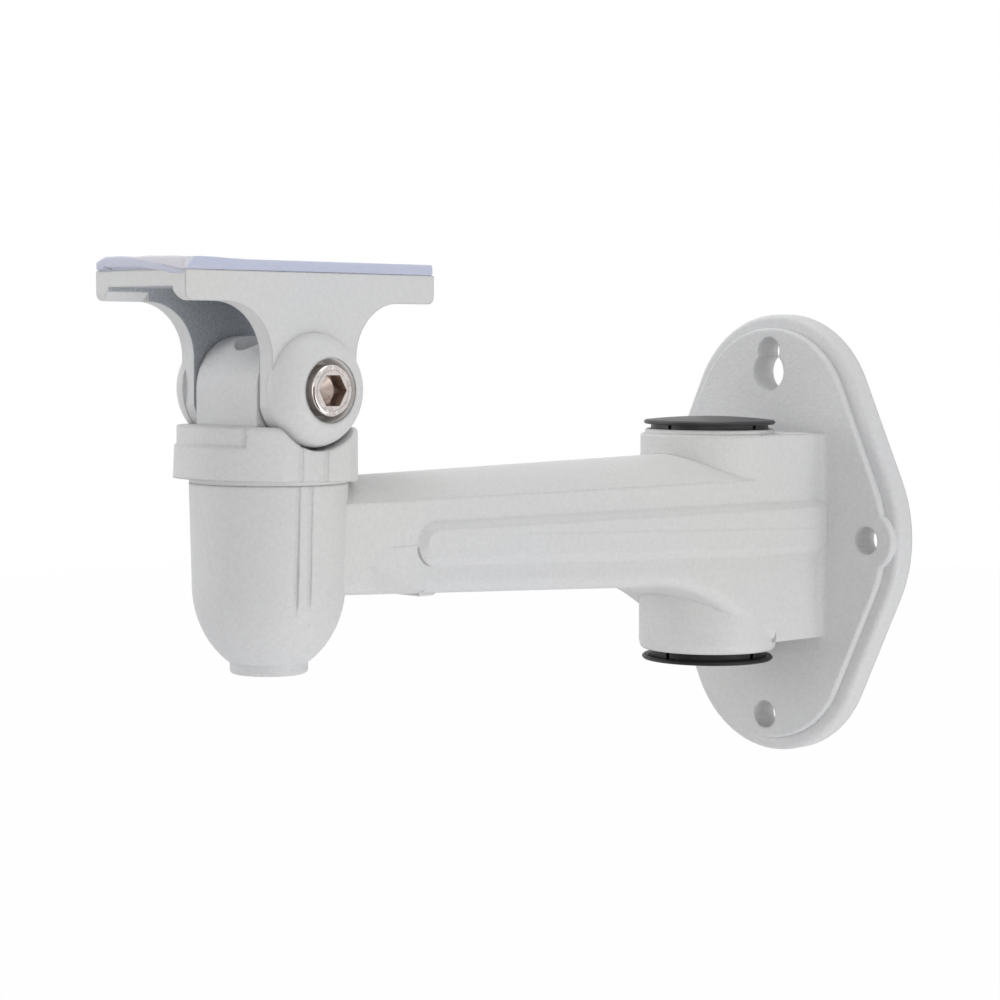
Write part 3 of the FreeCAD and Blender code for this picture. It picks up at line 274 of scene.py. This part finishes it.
markLook = {
    "side": (0.0098, 0.0106),          # marks lie on the casting's sides only
    # short parting line between cup and strip
    "lineHeight": 0.0041, "lineSlope": 0.022, "lineWidth": (0.00022, 0.00005),
    "lineStart": (-0.1290, -0.1262), "lineEnd": -0.1214, "lineFade": 0.0002,
    "lineStain": 0.16, "lineDepth": 0.00004,
    # long parting line on the strip
    "seamHeight": 0.0021, "seamSlope": -0.032, "seamWidth": (0.00045, 0.00005),
    "seamWander": 0.0003, "seamWanderScale": 60.0,
    "seamStart": (-0.104, -0.085), "seamEnd": (-0.0085, -0.012),
    "seamStain": 0.05, "seamDepth": 0.00005,
    # crack along the round end of the strip, whose centre is along Y and Z
    "tipCentre": (-0.11679, 0.00405), "tipRadius": 0.00431,
    "crackWidth": (0.00030, 0.00008), "crackTear": 0.0003, "crackTearScale": 2600.0,
    "crackTop": (0.0040, 0.0034), "crackFoot": (-0.0004, 0.0006), "crackBack": 0.0008,
    "crackStain": 0.55, "crackDepth": 0.00010,
    # file strokes beside the crack; strokeTurns are radians per metre along Y and Z
    "filedOuter": (-0.1275, -0.1260), "filedInner": (-0.1205, -0.1222),
    "filedFoot": (-0.0015, 0.0), "filedTop": (0.0040, 0.0030),
    "strokeTurns": (9000.0, 7000.0), "strokeWander": 3.0, "strokeWanderScale": 500.0,
    "strokeDepth": 0.000007,
}


# Casting: a short parting line runs from cup to strip and a long faint one along the strip;
# a crack follows the lower left of the strip's round end, where distance from its centre
# equals its radius; beside it lie file strokes, a sine of y and z.
def castingMarks(coat):
    look = markLook
    side = abs(coat.x).step(*look["side"])
    away = abs(coat.z - look["lineHeight"] - look["lineSlope"] * (coat.y - look["lineEnd"]))
    line = away.step(*look["lineWidth"]) * coat.y.step(*look["lineStart"]) \
        * coat.y.step(look["lineEnd"] + look["lineFade"], look["lineEnd"])
    wander = look["seamWander"] * (coat.noise(look["seamWanderScale"]) - 0.5)
    away = abs(coat.z - look["seamHeight"] - look["seamSlope"] * coat.y + wander)
    seam = away.step(*look["seamWidth"]) * coat.y.step(*look["seamStart"]) \
        * coat.y.step(*look["seamEnd"])
    tear = look["crackTear"] * (coat.noise(look["crackTearScale"]) - 0.5)
    tipY = look["tipCentre"][0]
    crack = abs(coat.around(*look["tipCentre"]) - look["tipRadius"] + tear).step(
        *look["crackWidth"]) * coat.z.step(*look["crackTop"]) * coat.z.step(*look["crackFoot"]) \
        * coat.y.step(tipY, tipY - look["crackBack"])
    turnsY, turnsZ = look["strokeTurns"]
    wander = look["strokeWander"] * coat.noise(look["strokeWanderScale"])
    stroke = (coat.y * turnsY + coat.z * turnsZ + wander).sine()
    filed = coat.y.step(*look["filedOuter"]) * coat.y.step(*look["filedInner"]) \
        * coat.z.step(*look["filedFoot"]) * coat.z.step(*look["filedTop"])
    stain = side * (look["lineStain"] * line + look["seamStain"] * seam
                    + look["crackStain"] * crack)
    lift = side * (look["strokeDepth"] * filed * stroke - look["lineDepth"] * line
                   - look["seamDepth"] * seam - look["crackDepth"] * crack)
    return stain, lift, side * 0.0, side * 0.0


fileLook = {
    "across": (0.72, 0.69),            # way across the front of the collar, from x and y
    "lean": (0.80, 0.60),              # cosine and sine of the strokes' slant
    "strokeScales": (240.0, 2600.0),   # noise along and across a stroke
    "foot": (0.0166, 0.0172), "top": (0.0262, 0.0256),
    "rightEnd": (0.0070, 0.0030), "front": (-0.006, -0.009),
    "stain": 0.06, "stainStep": (0.6, 0.8), "depth": 0.00006,
}


# Post: file strokes slant across the front of the collar, as noise drawn out along them.
def postMarks(coat):
    look = fileLook
    cupY = axes["pan"][1]
    cosine, sine = look["lean"]
    scaleAlong, scaleOver = look["strokeScales"]
    across = look["across"][0] * coat.x + look["across"][1] * (coat.y - cupY)
    along = cosine * across + sine * coat.z
    over = cosine * coat.z - sine * across
    place = coat.add("ShaderNodeCombineXYZ", None, {0: along * scaleAlong, 1: over * scaleOver})
    stroke = coat.noise(1.0, 2.0, 0.6, place)
    collar = coat.z.step(*look["foot"]) * coat.z.step(*look["top"]) \
        * across.step(*look["rightEnd"]) * coat.y.step(*(cupY + y for y in look["front"]))
    return (collar * look["stain"] * stroke.step(*look["stainStep"]),
            collar * look["depth"] * stroke, collar * 0.0, collar * 0.0)


bracketLook = dict(coatLook, edgeRound=0.0006, mottle=0.0375, peelDepth=0.000080)
pocketLook = {
    "radius": 0.0057, "rimRadius": 0.00645, "flareDepth": 0.0014,
    "faceDrop": 0.0003, "wallDrop": 0.0008,
    "faceSkin": (0.00006, 0.00003),    # the face's mask, below the face
    "faceEdge": 0.00004,               # the face's mask, inside the pocket's radius
    "wallSkin": (0.00008, 0.00004),    # the wall's mask, outside the pocket's radius
    "insideX": (0.00985, 0.00965),     # bare between the ears' inner faces
    "endSkin": (0.0001, 0.0003),       # and short of the table's end faces
}


# Bracket: between its ears and under the table the coat is darker and coarser, but not on the
# end faces of the table.  The coat is drawn round the mouth of each ear's pocket: on the
# face, height falls with the square of the way from the flat rim's edge to the pocket, and
# on the pocket's wall with the square of the way from the start of the flare to the face.
def bracketMarks(coat):
    look = pocketLook
    low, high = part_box("tilt_bracket")
    face, halfY = float(high[0]), float(high[1] - low[1]) / 2
    middleY = float(low[1] + high[1]) / 2
    inside = abs(coat.x).step(*look["insideX"]) \
        * abs(coat.y - middleY).step(*(halfY - skin for skin in look["endSkin"]))
    reach = coat.around(*axes["tilt"][1:])
    outward = reach.ramp(look["rimRadius"], look["radius"])
    deep = abs(coat.x).ramp(face - look["flareDepth"], face)
    onFace = abs(coat.x).ramp(*(face - skin for skin in look["faceSkin"])) \
        * reach.ramp(look["radius"] - look["faceEdge"], look["radius"])
    onWall = reach.ramp(*(look["radius"] + skin for skin in look["wallSkin"])) * (1.0 - onFace)
    lift = onFace * outward * outward * -look["faceDrop"] \
        + onWall * deep * deep * -look["wallDrop"]
    # The last share is painted light: the pocket's wall, outside the part between the ears, is
    # made lighter.
    return inside * 0.0, lift, inside, onWall * (1.0 - inside)


castingCoat = powderCoat("powderCoatCasting", coatLook, castingMarks)
dress("arm_casting", castingCoat)
dress("swivel_post", powderCoat("powderCoatPost", coatLook, postMarks))
dress("tilt_bracket", powderCoat("powderCoatBracket", bracketLook, bracketMarks))
print("castings coated")

# Foot of the collar, where the post sits on the cup's rim.
seatLook = {
    "foot": 0.01634,           # just above the cup's rim
    "top": 0.0176,             # inside the collar
    "inset": 0.00004,
    "wall": 0.0006,
    "aroundCount": 192,
}


# Ring about the pan axis, flush with the cup's side, from just above the rim into the collar.
def collarSeat(look):
    centreY = axes["pan"][1]
    outer = centreY - float(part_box("arm_casting")[0][1]) - look["inset"]
    angle = 2 * np.pi * np.arange(look["aroundCount"]) / look["aroundCount"]
    radius = np.array([outer - look["wall"], outer, outer, outer - look["wall"]])
    height = np.array([look["foot"]] * 2 + [look["top"]] * 2)
    grid = np.stack([np.outer(np.cos(angle), radius), centreY + np.outer(np.sin(angle), radius),
                     np.broadcast_to(height, (len(angle), 4))], -1)
    return closedGrid("collarSeat", grid, smooth=False)


seat = collarSeat(seatLook)
seat.data.materials.append(castingCoat.material)
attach(seat, "swivel")
print("collar seated")

# Black moulded plugs; the lower one is less dusty, and its blacker colour is painted shade, as it
# faces down.
plugLook = {
    "colour": (0.019, 0.018, 0.021), "ior": 1.5, "gloss": 0.4,
    "dust": (0.075, 0.075, 0.080), "dustScale": 160.0, "dustStep": (0.5, 0.8),
    "dustShare": 0.35,
    "roughness": 0.42, "dustRoughness": 0.2,
    "sparkSize": 0.00035, "sparkDepth": 0.00001,
}
# painted shade: the lower plug, which faces down, gets a blacker copy of the same plastic
shadedLowerPlugLook = dict(plugLook, colour=(0.008, 0.008, 0.009), dust=(0.020, 0.020, 0.022),
                     gloss=0.25)


# Plastic: spark texture noise as height, and a thin dust that follows slow noise.
def plugPlastic(name, look):
    plastic = Finish(name, IOR=look["ior"], Specular_IOR_Level=look["gloss"])
    spark = plastic.noise(1 / look["sparkSize"], 2.0)
    dust = plastic.noise(look["dustScale"], 4.0, 0.6).step(*look["dustStep"]) \
        * look["dustShare"]
    plastic.feed(Base_Color=plastic.mix(dust, shade(look["colour"]), shade(look["dust"])),
                 Roughness=look["roughness"] + look["dustRoughness"] * dust,
                 Normal=plastic.bump(spark * look["sparkDepth"]))
    return plastic


dress("upper_plug", plugPlastic("upperPlugPlastic", plugLook))
dress("lower_plug", plugPlastic("shadedLowerPlugPlastic", shadedLowerPlugLook))

# Nickel on the tilt screw, zinc on the other screw, nut and washers.
nickelLook = {
    "colour": (0.64, 0.60, 0.58), "tarnish": (0.33, 0.26, 0.22), "grime": (0.07, 0.035, 0.035),
    "roughness": 0.15,
    "tarnishScale": 900.0, "tarnishStep": (0.45, 0.75), "tarnishShare": 0.6, "wearShare": 0.75,
    "grainScale": 5200.0, "grainDepth": 0.000004,
    "roughnessOf": {"tarnish": 0.15, "grain": 0.1, "grime": 0.3},
}
zincLook = dict(nickelLook, colour=(0.50, 0.50, 0.51), tarnish=(0.32, 0.31, 0.30),
                grime=(0.07, 0.06, 0.06), roughness=0.34)
headLook = {
    "faceSkin": (0.00012, 0.00004),                 # the face's mask, below the face
    "edgeStart": 0.00405, "edgeWidth": 0.00055, "edgeDrop": 0.00030,      # rounded edge
    "ring": 0.00362, "ringHalf": 0.00011, "ringDepth": 0.00006, "ringGrime": 0.5,
    "socket": 0.0034, "socketEdge": 0.0001, "socketDepth": 0.0001,
    "dents": [92, 250, 280], "dentRing": 0.00398, "dentRadius": 0.00034, "dentDepth": 0.00007,
    "dentMiddle": 0.6, "dentRise": 0.8,             # shares of its radius and of its depth
    "grimeRing": 0.00438, "grimeWidth": (0.00016, 0.00004), "grimeWander": 0.00012,
    "grimeWanderScale": 1100.0,
    "grimeSide": (-0.0026, -0.0034), "grimeTop": (0.0012, 0.0004),
}


# Socket head: height falls with the square of the way beyond edgeStart, a thin groove runs at
# the ring's radius, and each dent is a dot with a raised middle.  Grime lies along the edge
# on the outer side; the socket's walls are tarnished.
def headMarks(metal):
    look = headLook
    ay, az = axes["tilt"][1:]
    top = float(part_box("tilt_screw")[1][0])
    reach = metal.around(ay, az)
    face = metal.x.ramp(*(top - skin for skin in look["faceSkin"]))
    edge = reach.ramp(look["edgeStart"], look["edgeStart"] + look["edgeWidth"])
    groove = abs(reach - look["ring"]).step(look["ringHalf"], 0.0)
    dented = face * 0.0
    middle = look["dentRadius"] * look["dentMiddle"]
    for angle in look["dents"]:
        turn = math.radians(angle)
        apart = metal.around(ay + look["dentRing"] * math.cos(turn),
                             az + look["dentRing"] * math.sin(turn))
        dented = dented + apart.step(look["dentRadius"], middle) \
            - look["dentRise"] * apart.step(middle, 0.0)
    wander = look["grimeWander"] * (metal.noise(look["grimeWanderScale"]) - 0.5)
    grime = abs(reach - look["grimeRing"] + wander).step(*look["grimeWidth"]) \
        * (metal.y - ay).step(*look["grimeSide"]) * (metal.z - az).step(*look["grimeTop"])
    deep = top - look["socketDepth"]
    socket = reach.step(look["socket"], look["socket"] - look["socketEdge"]) \
        * metal.x.ramp(deep, deep - look["socketEdge"])
    lift = face * (edge * edge * -look["edgeDrop"] + groove * -look["ringDepth"]
                   + dented * -look["dentDepth"])
    return (grime + look["ringGrime"] * face * groove).clamped(), lift, socket


def plainMarks(metal):
    return metal.x * 0.0, metal.x * 0.0, metal.x * 0.0


# Plating: tarnish follows noise and the given wear, roughness follows finer noise, and the
# height is a fine grain.  marks gives grime from 0 to 1, a height in metres and a wear.
def plating(name, look, marks):
    metal = Finish(name, Metallic=1.0)
    grime, lift, wear = marks(metal)
    spread = metal.noise(look["tarnishScale"], 4.0, 0.6).step(*look["tarnishStep"])
    tarnish = (look["tarnishShare"] * spread + look["wearShare"] * wear).clamped()
    grain = metal.noise(look["grainScale"], 3.0, 0.6)
    plated = metal.mix(tarnish, shade(look["colour"]), shade(look["tarnish"]))
    share = look["roughnessOf"]
    metal.feed(Base_Color=metal.mix(grime, plated, shade(look["grime"])),
               Roughness=look["roughness"] + share["tarnish"] * tarnish
               + share["grain"] * grain + share["grime"] * grime,
               Normal=metal.bump(grain * look["grainDepth"] + lift))
    return metal


dress("tilt_screw", plating("nickelPlate", nickelLook, headMarks))
zinc = plating("zincPlate", zincLook, plainMarks)
for name in ("pan_screw", "pan_spring_washer", "pan_flat_washer", "tilt_nut"):
    dress(name, zinc)

nylonLook = {"colour": (0.74, 0.72, 0.66), "deeper": 0.9, "mottleScale": 420.0,
             "mottleDepth": 0.00003, "roughness": 0.45, "roughnessSwing": 0.1,
             "subsurface": 0.15}


# Nylon: faint mottling in the colour and a soft moulded grain as height.
def nylonFinish(name, look):
    nylon = Finish(name, Subsurface_Weight=look["subsurface"])
    mottle = nylon.noise(look["mottleScale"], 3.0)
    nylon.feed(Base_Color=nylon.mix(mottle, shade(look["colour"]),
                                    shade(look["colour"], look["deeper"])),
               Roughness=look["roughness"] + look["roughnessSwing"] * mottle,
               Normal=nylon.bump(mottle * look["mottleDepth"]))
    return nylon


nylon = nylonFinish("naturalNylon", nylonLook)
dress("pan_thrust_washer", nylon)
dress("tilt_side_washers", nylon)
print("plugs, screws and washers finished")

# Foam pad on the table.  Points across its outer end are pairs of x and a rise.
padLook = {
    "cornerRound": 0.0006,
    "edgeRound": 0.00045,
    "slotWidth": 0.0068,
    "slotLength": 0.036,
    "aroundCount": 640,
    "bendCount": 6, "flatCount": 20, "wallCount": 12,   # rows of an edge, the top, the slot
    "crumpleStart": 0.0130,   # from the pad's middle towards its outer end
    "crumpleDepth": 0.00016,
    # waves of the top: share, radians per metre along x and y, shift, share of the bend
    "waves": [(0.5, 420, 0, 0.0, 1), (0.3, 840, 700, 0.8, 0), (0.2, -310, 1500, 0.0, 0)],
    "waveBend": (1.3, 240),   # radians, and radians per metre along y
    "topRise": [(-0.0133, -0.00035), (-0.0100, 0.00055), (-0.0040, 0.00055), (0.0030, 0.00040),
                (0.0133, 0.00035)],
    "hemRise": [(-0.0133, 0.00010), (-0.0085, 0.00055), (-0.0010, 0.00045), (0.0051, -0.00010),
                (0.0100, -0.00070), (0.0123, -0.00083), (0.0133, 0.00006)],
    "hemReach": 0.0022,       # how far the hem runs round the end's corners
    "overhang": 0.00025,      # hem of the film outside the table's end
    "tuckOverhang": 0.00002,
    # foam and its skin
    "colour": (0.525, 0.552, 0.69),
    "pale": (0.695, 0.680, 0.740),
    "subsurface": 0.15, "scatterScale": 0.002, "scatterRadius": (1.0, 0.9, 1.0),
    "roughness": 0.60, "roughnessSwing": 0.15,
    "porePitch": 0.00045, "poreDepth": 0.00006,
    "endSkin": 0.0006,
    # fold at the corner, painted paler as painted light: it falls along the end and climbs along
    # the side
    "foldStart": -0.0010, "foldFall": 0.15, "fallStep": (-0.00015, 0.00025),
    "foldClimb": 1.1, "climbStep": (-0.00015, 0.00030),
    "creaseWidth": (0.00020, 0.00002), "creaseStart": (0.003, 0.008),
    "creaseDepth": 0.0001, "creaseShade": 0.12,
    "wrinklePlace": -0.00945, "wrinkleHeight": 0.00048, "wrinkleSlope": -0.283,
    "wrinkleWidth": (0.00013, 0.00003), "wrinkleReach": (0.0013, 0.0009),
    "wrinkleDepth": 0.0002, "wrinkleShade": 0.35,
    "foldPaintedLight": 0.70, "endPale": 0.32, "slowPale": 0.25, "slowScale": 180.0, "slowMiddle": 0.4,
    "grooveShade": 0.45,
}


# Share that is eased at both ends.
def easedShare(share):
    return share * share * (3 - 2 * share)


# Height over x through the given points, eased between each two.
def eased(x, points):
    places, heights = np.array(points).T
    first = np.clip(np.searchsorted(places, x) - 1, 0, len(places) - 2)
    share = np.clip((x - places[first]) / (places[first + 1] - places[first]), 0, 1)
    return heights[first] + easedShare(share) * (heights[first + 1] - heights[first])


# Rounded rectangle as a function of s in 0..1 by arc length: four straights and four arcs,
# starting in the middle of the +X side and running towards +Y.
def roundedLoop(halfX, halfY, radius, s):
    straightX, straightY, turn = 2 * (halfX - radius), 2 * (halfY - radius), radius * math.pi / 2
    lengths = [straightY / 2, turn, straightX, turn, straightY, turn, straightX, turn,
               straightY / 2]
    ends = np.cumsum(lengths)
    way = s * ends[-1]
    points = np.zeros((len(s), 2))
    corners = [(halfX - radius, halfY - radius, 0), (radius - halfX, halfY - radius, 90),
               (radius - halfX, radius - halfY, 180), (halfX - radius, radius - halfY, 270)]
    straights = [(halfX, 0, 0, 1), (halfX - radius, halfY, -1, 0), (-halfX, halfY - radius, 0, -1),
                 (radius - halfX, -halfY, 1, 0), (halfX, radius - halfY, 0, 1)]
    slack = 1e-12
    for k, length in enumerate(lengths):
        here = (way >= ends[k] - length) & (way <= ends[k] + slack)
        along = way[here] - (ends[k] - length)
        if k % 2:
            cx, cy, first = corners[k // 2]
            angle = math.radians(first) + along / radius
            points[here] = np.stack([cx + radius * np.cos(angle), cy + radius * np.sin(angle)], 1)
        else:
            px, py, dx, dy = straights[k // 2]
            points[here] = np.stack([px + dx * along, py + dy * along], 1)
    return points


# Pad: outer loop and slot loop joined by a section that runs over the top, down the outer
# edge, back under the foot and up the slot; height waves grow towards the outer end, where
# the hem hangs just outside the table and is tucked back to the table's edge.
def foamPad(look):
    low, high = (np.array(corner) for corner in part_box("camera_pad"))
    middle = (low + high) / 2
    half = (high - low) / 2
    s = np.arange(look["aroundCount"]) / look["aroundCount"]
    outer = roundedLoop(half[0], half[1], look["cornerRound"], s)
    slot = roundedLoop(look["slotWidth"] / 2, look["slotLength"] / 2, look["slotWidth"] / 2, s)
    edge, bendCount, wallCount = look["edgeRound"], look["bendCount"], look["wallCount"]
    bend = np.linspace(0, np.pi / 2, bendCount)
    flat = np.linspace(0, 1, look["flatCount"] + 2)[1:-1]
    # Section: share from slot loop to outer loop, inset from the outer edge, and height.
    share = np.concatenate([flat, np.ones(2 * bendCount + 1), flat[::-1], np.zeros(wallCount)])
    inset = np.concatenate([0 * flat, edge * (1 - np.sin(bend)), edge * (1 - np.cos(bend)),
                            [edge], 0 * flat, np.zeros(wallCount)])
    height = np.concatenate([0 * flat + half[2], half[2] - edge * (1 - np.cos(bend)),
                             -half[2] + edge * (1 - np.sin(bend)),
                             [-half[2]], 0 * flat - half[2],
                             np.linspace(-half[2], half[2], wallCount)])
    row = np.arange(len(share))
    hemRow = len(flat) + bendCount
    tuckRow = hemRow + bendCount
    hem = (row >= hemRow) & (row < tuckRow)
    tuck = row == tuckRow
    away = outer - slot
    away /= np.linalg.norm(away, axis=1)[:, None]
    flatPoints = slot[:, None] + (outer - slot)[:, None] * share[None, :, None] \
        - away[:, None] * inset[None, :, None]
    x, y = flatPoints[..., 0], flatPoints[..., 1]
    z = np.broadcast_to(height, x.shape).copy()
    near = easedShare(np.clip((-y - look["crumpleStart"]) / (half[1] - look["crumpleStart"]),
                              0, 1))
    top = (z + half[2]) / (2 * half[2])
    sway, turns = look["waveBend"]
    wave = sum(part * np.sin(x * alongX + y * alongY + shift + bent * sway * np.sin(y * turns))
               for part, alongX, alongY, shift, bent in look["waves"])
    z = z + near * top * (look["crumpleDepth"] * wave + eased(x, look["topRise"]))
    rim = np.clip((-outer[:, 1] - half[1] + look["hemReach"]) / look["hemReach"], 0, 1)[:, None]
    skirt = rim * (share == 1)
    z = z + skirt * hem * eased(x, look["hemRise"])
    y = y - skirt * np.where(tuck, look["tuckOverhang"] + edge, look["overhang"])
    grid = np.stack([x, y, z], -1) + middle
    return closedGrid("cameraFoamPad", grid)


# Foam: pores are Voronoi cells as height; the skin is paler at the outer end, and the fold carries
# painted light: it is paler above a line that falls with x on the end and one that climbs with y
# on the side.
# A short wrinkle is a dark groove along a line of its own.
def foamFinish(look, box):
    low, high = asList(box)
    foam = Finish("lavenderFoam", Subsurface_Weight=look["subsurface"],
                  Subsurface_Scale=look["scatterScale"], Subsurface_Radius=look["scatterRadius"])
    pores = foam.cells(1 / look["porePitch"])
    slow = foam.noise(look["slowScale"], 3.0)
    onEnd = foam.y.step(low[1] + look["endSkin"], low[1])
    overFall = foam.z - high[2] + look["foldFall"] * (foam.x - look["foldStart"])
    overClimb = foam.z - low[2] - look["foldClimb"] * (foam.y - low[1])
    litFold = (onEnd * overFall.step(*look["fallStep"])
            + (1.0 - onEnd) * overClimb.step(*look["climbStep"])).clamped()
    crease = onEnd * abs(overFall).step(*look["creaseWidth"]) * foam.x.step(*look["creaseStart"])
    along = foam.x - look["wrinklePlace"]
    line = foam.z - low[2] - look["wrinkleHeight"] - look["wrinkleSlope"] * along
    wrinkle = onEnd * abs(line).step(*look["wrinkleWidth"]) \
        * abs(along).step(*look["wrinkleReach"])
    # painted light: the fold is made paler where light would catch it
    pale = (look["foldPaintedLight"] * litFold + look["endPale"] * onEnd
            + look["slowPale"] * (slow - look["slowMiddle"])).clamped()
    skin = foam.mix(pale, shade(look["colour"]), shade(look["pale"]))
    groove = (look["wrinkleShade"] * wrinkle + look["creaseShade"] * crease).clamped()
    foam.feed(Base_Color=foam.mix(groove, skin, shade(look["colour"], look["grooveShade"])),
              Roughness=look["roughness"] + look["roughnessSwing"] * pores,
              Normal=foam.bump(pores * look["poreDepth"] - look["wrinkleDepth"] * wrinkle
                               - look["creaseDepth"] * crease))
    return foam


pad = foamPad(padLook)
pad.data.materials.append(foamFinish(padLook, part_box("camera_pad")).material)
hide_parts("camera_pad")
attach(pad, "table")
print("foam pad made")

# Studio: a pale floor, a white surround and soft disks of light.
studioLook = {
    "floorDrop": 0.60,          # floor below the bracket
    "floorHalf": 6.0,
    "floorColour": (0.86, 0.86, 0.87),
    "floorRoughness": 0.8,
    "floorWhite": 0.985,        # share of white that the camera sees on the floor
    "worldLight": 0.52,
    "aim": (0.0, -0.09, 0.0),
    "lamps": [
        # name, direction from the aim, distance, size, watts
        ("rightLowBox", (0.90, 0.15, -0.42), 0.95, 0.6, 3.1),
        ("frontLeftBox", (-0.70, -0.70, 0.15), 1.2, 0.8, 3.5),
        ("frontRightBox", (0.70, -0.70, 0.10), 1.2, 0.8, 1.5),
        ("topLeftBox", (-0.55, -0.05, 0.83), 1.2, 0.8, 2.5),
        ("topBox", (0.10, 0.00, 1.00), 1.2, 0.8, 4.4),
    ],
}


# 1 where the ray comes from the camera, or from glass or metal that shows the background.
def seenRay(tree):
    ray = addNode(tree, "ShaderNodeLightPath", output=None)
    camera, glossy, through = (Wire(tree, ray.outputs["Is %s Ray" % kind])
                               for kind in ("Camera", "Glossy", "Transmission"))
    return camera.most(glossy).most(through)


# White to the camera, glass and metal, and its own colour to everything it lights.
def floorFinish(look):
    floor = Finish("paleFloor", Roughness=look["floorRoughness"],
                   Base_Color=shade(look["floorColour"]))
    glow = floor.add("ShaderNodeEmission", None, {"Color": shade((1.0, 1.0, 1.0)),
                                                  "Strength": 1.0})
    blend = floor.add("ShaderNodeMixShader", None, {
        0: seenRay(floor.tree) * look["floorWhite"],
        1: Wire(floor.tree, floor.shader.outputs[0]), 2: glow})
    floor.tree.links.new(blend.socket, floor.tree.nodes["Material Output"].inputs["Surface"])
    return floor


def makeFloor(look):
    half, level = look["floorHalf"], float(cadBox[0][2]) - look["floorDrop"]
    mesh = bpy.data.meshes.new("floor")
    mesh.from_pydata([(-half, -half, level), (half, -half, level), (half, half, level),
                      (-half, half, level)], [], [(0, 1, 2, 3)])
    mesh.materials.append(floorFinish(look).material)
    floor = bpy.data.objects.new("floor", mesh)
    bpy.context.scene.collection.objects.link(floor)


# World: strength 1 where it is seen, and worldLight where it lights.
def makeWorld(look):
    world = bpy.data.worlds.new("studioWorld")
    bpy.context.scene.world = world
    world.use_nodes = True
    tree = world.node_tree
    back = tree.nodes["Background"]
    back.inputs["Color"].default_value = shade((1.0, 1.0, 1.0))
    light = look["worldLight"]
    strength = seenRay(tree) * (1.0 - light) + light
    tree.links.new(strength.socket, back.inputs["Strength"])


def makeLamps(look):
    aim = Vector(look["aim"])
    for name, direction, distance, size, watts in look["lamps"]:
        lamp = bpy.data.lights.new(name, "AREA")
        lamp.shape = "DISK"
        lamp.size = size
        lamp.energy = watts
        holder = bpy.data.objects.new(name, lamp)
        bpy.context.scene.collection.objects.link(holder)
        outward = Vector(direction).normalized()
        holder.location = aim + outward * distance
        holder.rotation_euler = (-outward).to_track_quat("-Z", "Y").to_euler()
        holder.visible_camera = False


makeFloor(studioLook)
makeWorld(studioLook)
makeLamps(studioLook)

cameraLook = {"place": (0.36528, -0.43691, 0.04251), "azimuth": 46.352, "dip": 3.607,
              "roll": 0.289, "lens": 91.283, "sensor": 36.0, "nearest": 0.01}


# The view runs along (-sin a cos e, cos a cos e, -sin e), with azimuth a and dip e.
def makeCamera(look):
    a, e, t = (math.radians(look[key]) for key in ("azimuth", "dip", "roll"))
    ahead = Vector((-math.sin(a) * math.cos(e), math.cos(a) * math.cos(e), -math.sin(e)))
    right = Vector((math.cos(a), math.sin(a), 0.0))
    up = right.cross(ahead)
    turnedRight = right * math.cos(t) + up * math.sin(t)
    turnedUp = up * math.cos(t) - right * math.sin(t)
    data = bpy.data.cameras.new("camera")
    data.lens = look["lens"]
    data.sensor_width = look["sensor"]
    data.clip_start = look["nearest"]
    eye = bpy.data.objects.new("camera", data)
    bpy.context.scene.collection.objects.link(eye)
    frameAxes = Matrix((turnedRight, turnedUp, -ahead)).transposed()
    eye.matrix_world = Matrix.Translation(look["place"]) @ frameAxes.to_4x4()
    bpy.context.scene.camera = eye


makeCamera(cameraLook)
bpy.context.scene.view_settings.view_transform = "Standard"
print("studio and camera set")
